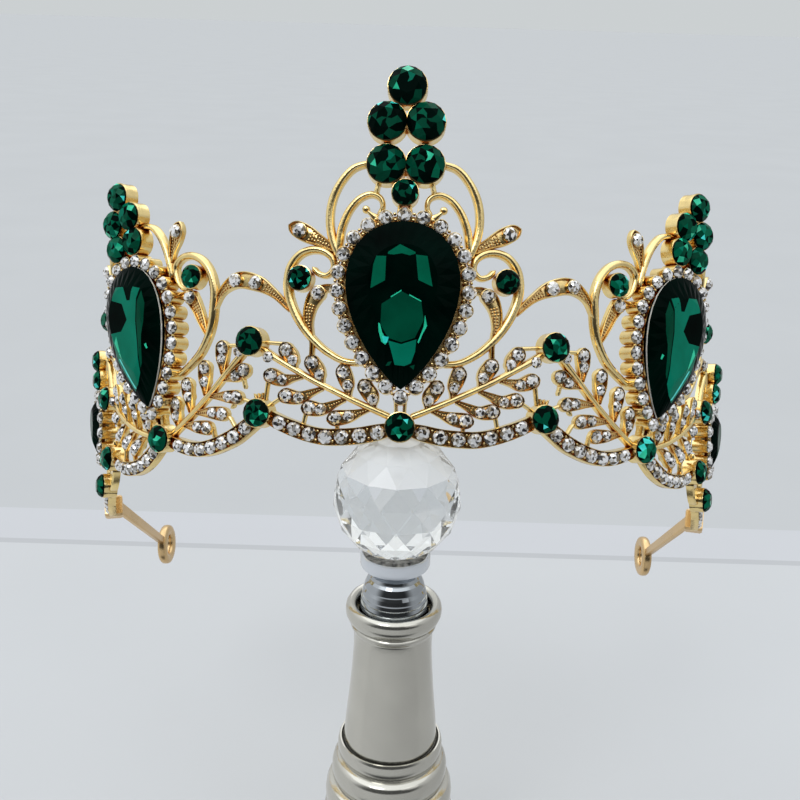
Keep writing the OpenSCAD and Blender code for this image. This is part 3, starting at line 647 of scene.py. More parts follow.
# Shares of the radius to the outer corners of the star facets, to the table's edge and to its inner ring
STAR_REACH, TABLE_REACH, INNER_REACH = 0.8, 0.55, 0.55 * 0.45
# Share of the crown's height of those corners, height of the girdle by the radius, crown of a clear stone
STAR_HIGH, GIRDLE_HIGH, CLEAR_CROWN = 0.62, 0.12, 0.5
# Degrees by which each stone is turned against the one before it
GREEN_TURN, CLEAR_TURN = 11.0, 17.0
# The first number of the clear stones' random draws. Those of the green stones start at 0
CLEAR_SEED = 900
# Columns: shares of the deep, dim, lit, mint, cyan and bright tones, which paint shade, light and glints on
# the facets. Rows: girdle, kite, star, break, table
GREEN_CHANCES = (
    (1.0, 0.0, 0.0, 0.0, 0.0, 0.0), (0.64, 0.3, 0.04, 0.02, 0.0, 0.0), (0.52, 0.32, 0.05, 0.05, 0.04, 0.02),
    (0.66, 0.24, 0.03, 0.03, 0.02, 0.02), (0.52, 0.34, 0.08, 0.01, 0.0, 0.05),
)
# The same for side and end motifs and the links between them, which turn away and show more light
TURNED_CHANCES = (
    (1.0, 0.0, 0.0, 0.0, 0.0, 0.0), (0.24, 0.36, 0.26, 0.06, 0.04, 0.04),
    (0.24, 0.34, 0.26, 0.06, 0.06, 0.04), (0.32, 0.34, 0.22, 0.05, 0.04, 0.03),
    (0.2, 0.3, 0.34, 0.02, 0.0, 0.14),
)
# Columns: shares of the white, silver, warm shaded and dark tones, which paint highlights and shade on the
# facets of a clear stone. Rows as above
CLEAR_CHANCES = (
    (0.0, 0.05, 0.4, 0.55), (0.54, 0.2, 0.13, 0.13), (0.34, 0.2, 0.23, 0.23), (0.2, 0.2, 0.3, 0.3),
    (0.52, 0.14, 0.14, 0.2),
)


def facets_of_brilliant(r, low, girdle, crown):
    """Points, faces and kinds of facet of a round cut stone."""
    rim, top = low + girdle, low + girdle + crown
    points = circle(r, low, 16) + circle(r, rim, 16) + circle(r * STAR_REACH, rim + crown * STAR_HIGH, 8, 0.5)
    points += circle(r * TABLE_REACH, top, 8) + circle(r * INNER_REACH, top, 8, 0.5) + [(0, 0, top)]
    # Numbers of the first points of the rings above the lowest one, and of the middle of the table
    edge, star, table, inner, heart = 16, 32, 40, 48, 56
    faces = [tuple(range(16))[::-1], *strip(0, edge, 16)]
    kinds = [GIRDLE] * len(faces)
    for k in range(8):
        ahead, behind = (k + 1) % 8, (k - 1) % 8
        faces += [
            (edge + 2 * k, star + k, table + k, star + behind),
            (table + k, star + k, table + ahead),
            (edge + 2 * k, edge + 2 * k + 1, star + k),
            (edge + 2 * k + 1, edge + (2 * k + 2) % 16, star + k),
            (table + k, table + ahead, inner + k),
            (table + k, inner + k, inner + behind),
            (inner + behind, inner + k, heart),
        ]
        kinds += [KITE, STAR, BREAK, BREAK, TABLE, SAME, SAME]
    return points, faces, kinds


def tones_for(kinds, chances, seed):
    """A material number for each facet, drawn by its kind."""
    draw = np.random.default_rng(seed)
    tones = []
    for kind in kinds:
        tones.append(tones[-1] if kind == SAME else int(draw.choice(len(chances[kind]), p=chances[kind])))
    return tones


def brilliant(casting, phi, x, y, r, n, chances, seed, crown, turn):
    """A round cut stone of radius r on its cup of height n, turned about its axis."""
    points, faces, kinds = facets_of_brilliant(r, n, GIRDLE_HIGH * r, crown * r)
    twist = math.radians(turn)
    cos, sin = math.cos(twist), math.sin(twist)
    spun = [(a * cos - b * sin, a * sin + b * cos, c) for a, b, c in points]
    casting.add(on_seat(phi, x, y, spun), faces, tones_for(kinds, chances, seed))


def green_spots():
    """Rows of motif angle, x, y, radius and cup for every round green stone."""
    rows = []
    heads = [(phi, motif.crest, motif.base) for phi, motif in MOTIFS]
    heads += [(side * END_ANGLE, END_CREST, END_BASE) for side in (-1, 1)]
    for phi, crest, base in heads:
        for x, y, r in crest:
            rows += [(phi, side * x, y, r, CREST_CUP) for side in ((1,) if x == 0 else (-1, 1))]
        rows.append((phi, *base, BASE_CUP))
    for side in (-1, 1):
        rows += [(side * angle, 0, y, r, BASE_CUP) for angle, y, r in LINKS]
        for phi, motif in MOTIFS:
            x, y, r = motif.scroll_stone
            rows.append((phi, side * x, y, r, SCROLL_CUP))
    return rows


def clear_spots():
    """Rows of motif angle, x, y, radius and cup for every clear stone."""
    rows = []
    pears = [(phi, motif.pear) for phi, motif in MOTIFS]
    for phi, pear in (*pears, (END_ANGLE, END_PEAR), (-END_ANGLE, END_PEAR)):
        rows += [(phi, x, y, BORDER_R, BORDER_CUP) for x, y, _, _ in border_spots(pear)]
    for phi, motif in MOTIFS:
        for side in (-1, 1):
            rows += [(phi, side * x, y, BAND_R, BAND_CUP) for x, y, _ in motif.band[1:1 + BAND_STONES]]
            for x, y in (motif.petal_stone, motif.comma_stone):
                rows.append((phi, side * x, y, PETAL_R, PETAL_CUP))
            rows.append((phi, side * motif.tip_stone[0], motif.tip_stone[1], NEAR_R, TIP_SEAT))
            for leaf in motif.leaves:
                rows.append((phi, side * leaf[2], leaf[3], NEAR_R, LEAF_CUP))
                rows.append((phi, side * leaf[4], leaf[5], FAR_R, LEAF_CUP))
    for side in (-1, 1):
        rows += [(0, side * x, y, PETAL_R, PETAL_CUP) for x, y, _ in BRIDGE[2:4]]
        rows += [(side * SIDE_ANGLE, side * x, y, PETAL_R, PETAL_CUP) for x, y, _ in END_BRIDGE[2:3]]
        ends = END_BAND_OUT[1:1 + END_BAND_STONES]
        rows += [(side * END_ANGLE, side * x, y, BAND_R, BAND_CUP) for x, y, _ in ends]
    return rows


# Tones of a green stone, by material number: deep, its dark body; dim, painted shade; lit and bright, painted
# light; mint and cyan, painted glints; and the pale band that paints the highlight line round a pear's girdle
DEEP, DIM, LIT, MINT_GLINT, CYAN_GLINT, BRIGHT, GIRDLE_HIGHLIGHT = range(7)
# Painted light and glints drawn on a pear stone's crown for the lit facets of its back that show through:
# tone, then share of the half width and of the length
FRONT_LIGHT_PATCHES = (
    (LIT, ((-0.27, 0.791), (-0.27, 0.803), (-0.06, 0.851), (0.21, 0.806), (0.21, 0.795), (0.11, 0.785),
           (-0.03, 0.797), (-0.17, 0.788))),
    (LIT, ((-0.47, 0.779), (-0.52, 0.727), (-0.56, 0.584), (-0.31, 0.633), (-0.3, 0.779))),
    (LIT, ((0.22, 0.79), (0.27, 0.639), (0.52, 0.6), (0.42, 0.783))),
    (DIM, ((-0.02, 0.57), (-0.36, 0.492), (-0.37, 0.368), (-0.23, 0.29), (0.0, 0.265), (0.23, 0.293),
           (0.38, 0.399), (0.33, 0.508))),
    (BRIGHT, ((-0.23, 0.275), (-0.17, 0.208), (-0.11, 0.133), (0.06, 0.127), (0.17, 0.144), (0.24, 0.212),
              (0.26, 0.285), (0.0, 0.254))),
    (MINT_GLINT, ((-0.02, 0.578), (-0.2, 0.538), (-0.2, 0.53), (-0.02, 0.57))),
    (MINT_GLINT, ((0.12, 0.552), (0.33, 0.515), (0.33, 0.508), (0.12, 0.545))),
    (MINT_GLINT, ((-0.41, 0.38), (-0.4, 0.33), (-0.35, 0.27), (-0.28, 0.25), (-0.24, 0.27), (-0.34, 0.325),
            (-0.38, 0.375))),
    (CYAN_GLINT, ((-0.34, 0.302), (-0.31, 0.262), (-0.25, 0.262), (-0.22, 0.296))),
    (MINT_GLINT, ((0.4, 0.43), (0.38, 0.36), (0.28, 0.27), (0.3, 0.262), (0.37, 0.322), (0.44, 0.366))),
    (DIM, ((-0.27, 0.127), (-0.2, 0.13), (-0.16, 0.154), (-0.23, 0.15))),
    (DIM, ((0.15, 0.127), (0.22, 0.108), (0.24, 0.137))),
)
SIDE_LIGHT_PATCHES = (
    (BRIGHT, ((-0.66, 0.79), (-0.47, 0.82), (-0.31, 0.735), (-0.2, 0.745), (-0.15, 0.85), (0.17, 0.88),
              (0.36, 0.8), (0.0, 0.74), (-0.08, 0.615), (0.2, 0.555), (0.6, 0.575), (0.62, 0.37),
              (0.26, 0.12), (0.0, 0.15), (-0.17, 0.22), (-0.3, 0.41), (-0.38, 0.575), (-0.53, 0.71))),
    (DIM, ((-0.75, 0.67), (-0.7, 0.77), (-0.56, 0.7), (-0.42, 0.58), (-0.33, 0.41), (-0.22, 0.25),
           (-0.3, 0.28), (-0.5, 0.465), (-0.64, 0.55))),
    (MINT_GLINT, ((0.42, 0.54), (0.52, 0.5), (0.36, 0.34))),
    (CYAN_GLINT, ((0.46, 0.38), (0.52, 0.38), (0.22, 0.14), (0.14, 0.13))),
    (MINT_GLINT, ((-0.56, 0.4), (-0.5, 0.394), (-0.52, 0.362), (-0.56, 0.364))),
)
END_LIGHT_PATCHES = ((DIM, ((-0.3, 0.8), (-0.5, 0.5), (0.0, 0.15), (0.4, 0.4), (0.3, 0.8))),)
# Corners of a pear stone's outline
PEAR_STEPS = 32
# Crown of a pear stone: share of the outline, share of the height above the girdle, corners turned by half
CROWN = ((1.0, 0.0, 0), (0.8, 0.6, 1), (0.6, 1.0, 0))
# How high a pear stone's underside lies above the top of its border
PEAR_UP = 0.1
# How far out the pale band that paints the girdle's highlight line lies, and its two edges, as shares of the
# girdle's outline and height
HIGHLIGHT_REACH, HIGHLIGHT_SPAN = 1.006, (0.3, 0.8)
# Parts of each side of a patch of painted light, height of the first above the crown and step to the next,
# and the rows and columns of points that let it follow the crown
PATCH_PARTS, PATCH_UP, PATCH_STEP = 5, 0.04, 0.004
PATCH_X, PATCH_Y = np.arange(-10, 10.1, 0.5), np.arange(-22, 14, 0.5)


def pear_height(pear, places):
    """Height of a pear stone's crown over places seen from its middle."""
    outline = (pear_edge(pear, np.arange(0.5, 180, 0.5)) - pear_middle(pear)) * PEAR_FILL
    swing = np.arctan2(outline[:, 1], outline[:, 0])
    reach = np.hypot(outline[:, 0], outline[:, 1])
    toward = np.arctan2(places[:, 1], np.abs(places[:, 0]))
    share = np.hypot(places[:, 0], places[:, 1]) / np.interp(toward, swing, reach)
    shares, rises, _ = np.array(CROWN).T
    return pear.girdle + (pear.table - pear.girdle) * np.interp(-share, -shares, rises)


def inside(places, outline):
    """Which places lie inside a closed outline."""
    found = np.zeros(len(places), bool)
    for (ax, ay), (bx, by) in zip(outline, np.roll(outline, -1, axis=0)):
        crossed = (ay > places[:, 1]) != (by > places[:, 1])
        rise = by - ay if by != ay else 1e-9
        found ^= crossed & (places[:, 0] < ax + (places[:, 1] - ay) * (bx - ax) / rise)
    return found


def on_pear(phi, pear, local):
    """Points of the ring's own frame from points seen from a pear's middle, turned as its motif slants."""
    lean = math.atan(slant_of(phi))
    cos, sin = math.cos(lean), math.sin(lean)
    spin = np.array([[cos, sin, 0], [-sin, cos, 0], [0, 0, 1]])
    raised = np.asarray(local) + (0, 0, BORDER_TOP + PEAR_UP)
    return on_seat(phi, 0, pear_middle(pear)[1], raised @ spin)


def pear_ring(pear, share, height, shift):
    """Corners round a pear stone at a share of its outline."""
    turns = np.arange(PEAR_STEPS) * 360 / PEAR_STEPS + shift * 180 / PEAR_STEPS
    outline = (pear_edge(pear, turns) - pear_middle(pear)) * PEAR_FILL * share
    return np.concatenate([outline, np.full((PEAR_STEPS, 1), height)], axis=1)


def pear_stone(casting, phi, pear):
    """A cut pear: girdle, two rows of crown facets and a table, with a pale band round its girdle that paints
    its highlight line.
    """
    count = PEAR_STEPS
    crown = [(share, pear.girdle + rise * (pear.table - pear.girdle), shift) for share, rise, shift in CROWN]
    rings = [pear_ring(pear, *level) for level in ((1.0, 0.0, 0), *crown)]
    faces = [tuple(range(count))[::-1], tuple(3 * count + k for k in range(count)), *strip(0, count, count)]
    for k in range(count):
        ahead, behind = (k + 1) % count, (k - 1) % count
        faces.append((count + k, count + ahead, 2 * count + k))
        faces.append((count + k, 2 * count + k, 3 * count + k, 2 * count + behind))
        faces.append((3 * count + k, 2 * count + k, 3 * count + ahead))
    casting.add(on_pear(phi, pear, np.concatenate(rings)), faces, DEEP)
    # A painted highlight line round the girdle
    highlight_band = [pear_ring(pear, HIGHLIGHT_REACH, share * pear.girdle, 0) for share in HIGHLIGHT_SPAN]
    casting.add(on_pear(phi, pear, np.concatenate(highlight_band)), strip(0, count, count), GIRDLE_HIGHLIGHT)


def paint_light_patches(casting, phi, pear, facets, side):
    """Painted light: the lit facets of a pear stone's back, drawn as tinted patches on its crown."""
    parts = np.linspace(0, 1, PATCH_PARTS, endpoint=False)[:, None]
    lattice = np.stack(np.meshgrid(PATCH_X, PATCH_Y), axis=-1).reshape(-1, 2)
    middle = pear_middle(pear)[1]
    for number, (tone, shape) in enumerate(facets):
        outline = np.array([(side * x * pear.half, pear.tip + y * pear.length - middle) for x, y in shape])
        ahead = np.roll(outline, -1, axis=0)
        edge = np.concatenate([a + (b - a) * parts for a, b in zip(outline, ahead)])
        places = [Vector(place) for place in (*edge, *lattice[inside(lattice, outline)])]
        flat, _, cells, *_ = delaunay_2d_cdt(places, [], [list(range(len(edge)))], 1, 1e-4)
        flat = np.array([tuple(place) for place in flat])
        height = pear_height(pear, flat) + PATCH_UP + PATCH_STEP * number
        casting.add(on_pear(phi, pear, np.column_stack([flat, height])), cells, tone)


def lathe(casting, profile, steps, at, axes=np.eye(3), slot=0):
    """Turns a closed profile of radius and height round an axis."""
    turns = np.arange(steps) * 2 * math.pi / steps
    rows = np.array([[(r * math.cos(t), r * math.sin(t), h) for r, h in profile] for t in turns])
    count = len(profile)
    faces = [face for i in range(steps) for face in strip(i * count, (i + 1) % steps * count, count)]
    casting.add(np.array(at) + rows.reshape(-1, 3) @ axes, faces, slot)


def solid_of(profile):
    """Closes an open profile down its axis, a hair off it so that no face has a zero side."""
    return [(0.01, profile[0][1]), *profile, (0.01, profile[-1][1])]


def bar_between(casting, start, ahead, up, length, wide, tall, cut, narrow=1.0):
    """A straight bar with cut corners, from start along ahead, narrowed towards its far end."""
    side = np.cross(ahead, up)
    rows = []
    for run, shrink in ((0, 0.9), (cut, 1), (length - cut, 1), (length, 0.9)):
        w, t = wide / 2, tall / 2 * (1 - (1 - narrow) * run / length)
        section = (
            (-w + cut, -t), (w - cut, -t), (w, -t + cut), (w, t - cut),
            (w - cut, t), (-w + cut, t), (-w, t - cut), (-w, -t + cut),
        )
        rows.append([start + ahead * run + (side * a + up * b) * shrink for a, b in section])
    casting.add(rows, tube_faces(len(rows), len(section)))


# An arm: its length to the eye's centre, height and thickness, how much its height narrows, and how it
# turns and rises in degrees
ARM_LENGTH, ARM_HEIGHT, ARM_THICK, BAR_NARROW, BAR_TURN, BAR_RISE = 44.5, 2.8, 1.6, 0.8, 93.4, 0.4
# Its start above and outwards from the block's place, and its cut corners
BAR_UP, BAR_OUT, BAR_CUT = 0.5, 0.4, 0.35
# The eye: its bore, wall, depth, how square its section is, corners of the section and steps round the eye
EYE_BORE, EYE_WALL, EYE_DEEP, EYE_SOFT, EYE_CORNERS, EYE_STEPS = 5.0, 3.0, 2.5, 0.7, 16, 64
# The block: its three sizes, y, how far it starts behind the casting's back, and its cut corners
BLOCK_WIDE, BLOCK_TALL, BLOCK_DEEP, BLOCK_Y, BLOCK_BACK, BLOCK_CUT = 3.4, 5.2, 4.2, -1.0, 1.2, 0.5


def eye_section(swing):
    """A rounded square section of the eye's ring at an angle round it."""
    across, deep = math.cos(swing), math.sin(swing)
    return (
        (EYE_BORE + EYE_WALL) / 2 + EYE_WALL / 2 * math.copysign(abs(across) ** EYE_SOFT, across),
        EYE_DEEP / 2 * math.copysign(abs(deep) ** EYE_SOFT, deep),
    )


def arm(casting, side):
    """The end block, the flat bar that runs back from it and the round eye at its end."""
    phi = side * BLOCK_ANGLE
    origin, (_, slope, out) = seat(phi, 0, BLOCK_Y)
    back = origin - BLOCK_BACK * out
    bar_between(casting, back, out, slope, BLOCK_DEEP, BLOCK_WIDE, BLOCK_TALL, BLOCK_CUT)
    turn = math.radians(BAR_TURN if side > 0 else 180 - BAR_TURN)
    rise = math.radians(BAR_RISE)
    ahead = np.array([math.cos(turn) * math.cos(rise), math.sin(turn) * math.cos(rise), math.sin(rise)])
    up = np.cross(ahead, (-math.sin(turn), math.cos(turn), 0))
    start = slope_point(phi, BLOCK_Y + BAR_UP, BAR_OUT)
    length = ARM_LENGTH - EYE_BORE / 2 - EYE_WALL / 2
    bar_between(casting, start, ahead, up, length, ARM_THICK, ARM_HEIGHT, BAR_CUT, BAR_NARROW)
    ring = [eye_section(2 * math.pi * k / EYE_CORNERS) for k in range(EYE_CORNERS)]
    axes = np.array([ahead, up, np.cross(ahead, up)])
    lathe(casting, ring, EYE_STEPS, start + ahead * ARM_LENGTH, axes)


# Columns of the stand's profiles: radius, height from the ball's centre
COLLAR_PROFILE = (
    (3.0, -15.4), (5.2, -15.4), (6.5, -15.25), (6.95, -14.95), (7.08, -14.5), (7.1, -12.6), (7.0, -12.25),
    (6.8, -12.1), (6.5, -12.25), (6.4, -12.8),
)
# The dish under the ball; its dark finish paints the shade there
SEAT_PROFILE = ((3.0, -13.0), (6.45, -12.7), (6.3, -12.3), (5.8, -12.1), (5.2, -12.0))
NECK_PROFILE = (
    (3.5, -15.6), (3.3, -15.9), (3.5, -16.2), (4.3, -16.5), (4.95, -17.0), (5.2, -17.5), (5.2, -17.7),
    (5.08, -17.75), (5.6, -18.3), (5.9, -18.9), (6.12, -19.6), (6.12, -19.85), (6.02, -19.9), (6.36, -20.5),
    (6.6, -21.3), (6.6, -21.6), (6.52, -21.65), (6.74, -22.35), (6.74, -22.6), (6.66, -22.65), (6.9, -23.35),
    (6.9, -23.6), (6.82, -23.65), (7.06, -24.35), (7.06, -24.6), (6.98, -24.65), (7.2, -25.5),
)
PEDESTAL_PROFILE = (
    (7.45, -27.6), (7.5, -25.8), (7.6, -24.6), (7.9, -23.9), (8.4, -23.5), (8.9, -23.4), (9.4, -23.7),
    (9.75, -24.3), (9.88, -25.1), (9.8, -26.0), (9.45, -26.9), (8.95, -27.5), (8.6, -27.75), (8.5, -28.05),
    (8.75, -28.3), (8.8, -28.65), (8.6, -29.1), (8.25, -29.5), (8.12, -30.1), (8.1, -34.0), (8.4, -39.0),
    (8.9, -45.0), (9.5, -50.8), (9.85, -54.8), (9.95, -57.0), (10.2, -56.9), (10.45, -56.5), (10.75, -56.5),
    (11.0, -56.9), (11.15, -57.7), (11.15, -58.8), (11.0, -59.7), (10.7, -60.4), (10.5, -60.8), (10.9, -61.0),
    (11.6, -61.3),
    (12.1, -62.0), (12.35, -63.0), (12.4, -64.4), (12.3, -65.5), (12.0, -66.3), (11.8, -66.7), (12.4, -66.9),
    (13.1, -67.3), (13.55, -68.4), (13.75, -70.0), (13.7, -71.8), (13.5, -72.8), (13.3, -73.3), (13.9, -74.2),
    (14.5, -77.5), (15.3, -82.0), (17.1, -87.0), (20.1, -92.0), (23.6, -96.6), (26.0, -99.6), (26.8, -100.5),
    (27.8, -101.3), (28.6, -102.3), (28.98, -103.6), (28.98, -110.8), (28.6, -111.6), (28.0, -112.0),
)
STAND_STEPS = 128

# Share of the ball's radius above which its facets get the whitest tone, painted light from above, and the
# number of that tone
BALL_LIT_TOP, BALL_LIT_TONE = 0.42, 3
# Shares of the clear, dim and milky facets elsewhere, and the number of their random draw
BALL_CHANCES, BALL_SEED = (0.5, 0.3, 0.2), 5


def faceted_ball(casting, radius, height, rows, columns):
    """A cut ball: rows of facets, each row turned half a facet against the one below, its top facets painted
    whitest as light from above.
    """
    points, firsts = [(0, 0, -radius)], []
    for i in range(1, rows):
        swing = math.pi * i / rows
        firsts.append(len(points))
        points += circle(radius * math.sin(swing), -radius * math.cos(swing), columns, 0.5 * (i % 2))
    points.append((0, 0, radius))
    top = len(points) - 1
    faces = []
    for k in range(columns):
        faces.append((0, firsts[0] + (k + 1) % columns, firsts[0] + k))
        faces.append((top, firsts[-1] + k, firsts[-1] + (k + 1) % columns))
    for number, (a, b) in enumerate(zip(firsts, firsts[1:])):
        for k in range(columns):
            ahead = (k + 1) % columns
            if number % 2:
                faces += [(a + k, a + ahead, b + k), (a + ahead, b + ahead, b + k)]
            else:
                faces += [(a + k, a + ahead, b + ahead), (a + k, b + ahead, b + k)]
    drawn = np.random.default_rng(BALL_SEED).choice(len(BALL_CHANCES), len(faces), p=BALL_CHANCES)
    # Facets high on the ball get the whitest tone: painted light from above
    lit_from_above = [sum(points[k][2] for k in face) > len(face) * BALL_LIT_TOP * radius for face in faces]
    tones = [BALL_LIT_TONE if white else int(tone) for white, tone in zip(lit_from_above, drawn)]
    casting.add(np.array(points) + (0, 0, height), faces, tones)


def fill(made, **inputs):
    """Gives a node's inputs their values or the outputs that feed them. An underscore stands for a space."""
    for name, value in inputs.items():
        socket = made.inputs[name.replace("_", " ")]
        if isinstance(value, bpy.types.NodeSocket):
            made.id_data.links.new(value, socket)
        else:
            socket.default_value = value
    return made


def node(tree, kind, settings=(), **inputs):
    """Adds a node. Its settings come before its inputs, because some of them change which inputs it has."""
    made = tree.nodes.new("ShaderNode" + kind)
    for name, value in settings:
        setattr(made, name, value)
    return fill(made, **inputs)


def ramp(tree, driver, stops, interpolation="LINEAR"):
    """A colour that changes with a driver, from rows of place and tone."""
    made = node(tree, "ValToRGB", Fac=driver)
    made.color_ramp.interpolation = interpolation
    elements = made.color_ramp.elements
    for number, (position, tone) in enumerate(stops):
        stop = elements[number] if number < 2 else elements.new(position)
        stop.position, stop.color = position, (*tone, 1)
    return made.outputs["Color"]


def tinted(tree, first, second):
    """One colour multiplied by another."""
    kind = (("data_type", "RGBA"), ("blend_type", "MULTIPLY"))
    return node(tree, "Mix", kind, Factor=1.0, A=first, B=second).outputs["Result"]


def grained_finish(name, tones, roughness, grain, bump=0.0, metallic=1.0, spread=0.12, painted_shade=None, **gloss):
    """A procedural finish: tones drift over the surface, roughness varies and fine pitting lifts the light.

    With a colour and a distance, an occlusion node paints shade: hollows narrower than the distance darken
    towards the colour.
    """
    made = bpy.data.materials.new(name)
    made.use_nodes = True
    tree = made.node_tree
    place = node(tree, "TexCoord").outputs["Object"]
    cloud = node(tree, "TexNoise", Vector=place, Scale=grain, Detail=4).outputs["Fac"]
    colour = ramp(tree, cloud, ((0.3, tones[0]), (0.7, tones[1])))
    if painted_shade:
        # Painted shade: an occlusion node darkens the hollows towards the given colour
        shade_mask = node(tree, "AmbientOcclusion", (("samples", 6),), Distance=painted_shade[1]).outputs["AO"]
        colour = tinted(tree, colour, ramp(tree, shade_mask, ((0.15, painted_shade[0]), (0.75, (1, 1, 1)))))
    low, high = roughness - spread / 2, roughness + spread / 2
    rough = node(tree, "MapRange", Value=cloud, To_Min=low, To_Max=high).outputs["Result"]
    shader = tree.nodes["Principled BSDF"]
    fill(shader, Base_Color=colour, Roughness=rough, Metallic=metallic, **gloss)
    if bump:
        pits = node(tree, "TexNoise", Vector=place, Scale=grain * 7).outputs["Fac"]
        lift = node(tree, "Bump", Strength=bump, Distance=0.1 * MM, Height=pits)
        fill(shader, Normal=lift.outputs["Normal"])
    return made


def shade(colour, factor):
    """A colour made darker or lighter."""
    return tuple(min(1.0, channel * factor) for channel in colour[:3])


class DiademLooks(bpy.types.PropertyGroup):
    """Sizes and colours of the diadem."""

    gilt: bpy.props.FloatVectorProperty(
        name="Gilt", description="Colour of the gilt casting", subtype="COLOR", size=3, min=0, max=1,
        default=(0.95, 0.725, 0.335),
    )
    bar: bpy.props.FloatVectorProperty(
        name="Bars", description="Colour of the satin bars and eyes", subtype="COLOR", size=3, min=0, max=1,
        default=(0.76, 0.54, 0.28),
    )
    green: bpy.props.FloatVectorProperty(
        name="Green", description="Colour of the lit facets of the green stones", subtype="COLOR", size=3,
        min=0, max=1, default=(0.001, 0.118, 0.062),
    )
    prong: bpy.props.FloatProperty(
        name="Border grain", description="Radius of the grains between the stones round a large pear",
        unit="LENGTH", default=0.33 * MM, min=0.2 * MM, max=0.5 * MM,
    )
    green_crown: bpy.props.FloatProperty(
        name="Green crown", description="Height of the crown of the round green stones, by their radius",
        default=0.42, min=0.3, max=0.6,
    )


class StandLooks(bpy.types.PropertyGroup):
    """Sizes and colours of the stand."""

    nickel: bpy.props.FloatVectorProperty(
        name="Nickel", description="Colour of the plated pedestal", subtype="COLOR", size=3, min=0, max=1,
        default=(0.58, 0.57, 0.52),
    )
    facet_rows: bpy.props.IntProperty(
        name="Facet rows", description="Rows of facets on the glass ball", default=9, min=6, max=16,
    )
    facet_columns: bpy.props.IntProperty(
        name="Facets in a row", description="Facets in each row of the glass ball", default=12, min=8, max=24,
    )


class StageLooks(bpy.types.PropertyGroup):
    """Floor, light and camera."""

    floor: bpy.props.FloatVectorProperty(
        name="Floor", description="Colour of the pale floor", subtype="COLOR", size=3, min=0, max=1,
        default=(0.595, 0.605, 0.625),
    )
    key_strength: bpy.props.FloatProperty(
        name="Soft light", description="Strength of the soft lamps, by their usual one",
        default=1.0, min=0.0, max=4.0,
    )
    camera_at: bpy.props.FloatVectorProperty(
        name="Camera", description="Place of the camera", subtype="TRANSLATION", size=3, unit="LENGTH",
        default=(0.0, -0.18625, 0.19996),
    )
    camera_down: bpy.props.FloatProperty(
        name="Look down", description="Angle of the camera below the horizon", subtype="ANGLE",
        default=math.radians(20.0),
    )
    camera_roll: bpy.props.FloatProperty(
        name="Roll", description="Roll of the camera", subtype="ANGLE", default=math.radians(1.7),
    )
    camera_lens: bpy.props.FloatProperty(
        name="Lens", description="Focal length in millimetres", default=46.76, min=20.0, max=120.0,
    )


# Painted shade: colour that an occlusion node darkens hollows towards, and how narrow they are, on gilt and
# on nickel
GILT_PAINTED_SHADE, NICKEL_PAINTED_SHADE = ((0.56, 0.29, 0.075), 1.25 * MM), ((0.03, 0.03, 0.03), 1.2 * MM)


def gilt_finish(looks):
    """The bright gilt of the casting, with painted shade that browns its hollows."""
    tones = (shade(looks.gilt, 0.84), shade(looks.gilt, 1.1))
    return grained_finish("gilt", tones, roughness=0.17, grain=260, bump=0.3, painted_shade=GILT_PAINTED_SHADE)


def green_finishes(looks):
    """The tones of a green stone, in the order of their numbers: its deep tone, painted shade, painted light
    and painted glints.
    """
    green = looks.green
    # Columns: name, darker and lighter tone, grain, gloss
    tones = (
        ("green_deep", (0.0, 0.0015, 0.001), (0.0, 0.006, 0.004), 120, 0.015),
        ("green_dim", shade(green, 0.42), shade(green, 0.62), 160, 0.03),
        ("green_lit", shade(green, 0.82), shade(green, 1.2), 160, 0.04),
        ("green_mint_glint", (0.01, 0.45, 0.24), (0.04, 0.75, 0.45), 400, 0.3),
        ("green_cyan_glint", (0.01, 0.65, 0.55), (0.1, 0.95, 0.9), 400, 0.3),
        ("green_bright", (0.001, 0.15, 0.09), (0.002, 0.2, 0.125), 160, 0.04),
    )
    return [
        grained_finish(name, (low, high), 0.09, grain, metallic=0.0, spread=0.05, Specular_IOR_Level=gloss)
        for name, low, high, grain, gloss in tones
    ]


class DIADEM_OT_gilt_frame(bpy.types.Operator):
    """Builds the gilt casting: motifs, scrolls, leaves, bands, bridges, cups and grains"""

    bl_idname = "diadem.gilt_frame"
    bl_label = "Gilt frame"

    def execute(self, context):
        looks = context.scene.diadem_looks
        prong = looks.prong / MM
        casting = Casting()
        center_motif(casting, prong)
        for side in (-1, 1):
            side_motif(casting, side * SIDE_ANGLE, prong)
            end_motif(casting, side * END_ANGLE)
            bridges(casting, side)
            link_stubs(casting, side)
        for phi, x, y, r, held in (*green_spots(), *clear_spots()):
            if held.corners:
                cup(casting, phi, x, y, r, held)
        casting.finish("gilt_frame", [gilt_finish(looks)], "gilt_metal", ["frame"], crease=32)
        return {"FINISHED"}


class DIADEM_OT_gilt_arms(bpy.types.Operator):
    """Builds the end blocks, bars and eyes"""

    bl_idname = "diadem.gilt_arms"
    bl_label = "End arms"

    def execute(self, context):
        bar = context.scene.diadem_looks.bar
        tones = (shade(bar, 0.9), shade(bar, 1.08))
        finish = grained_finish("gilt_bar", tones, roughness=0.28, grain=120, bump=0.15)
        for side, name in ((1, "right"), (-1, "left")):
            casting = Casting()
            arm(casting, side)
            casting.finish(f"gilt_arm_{name}", [finish], "gilt_metal", [f"arm_{name}"], crease=30)
        return {"FINISHED"}


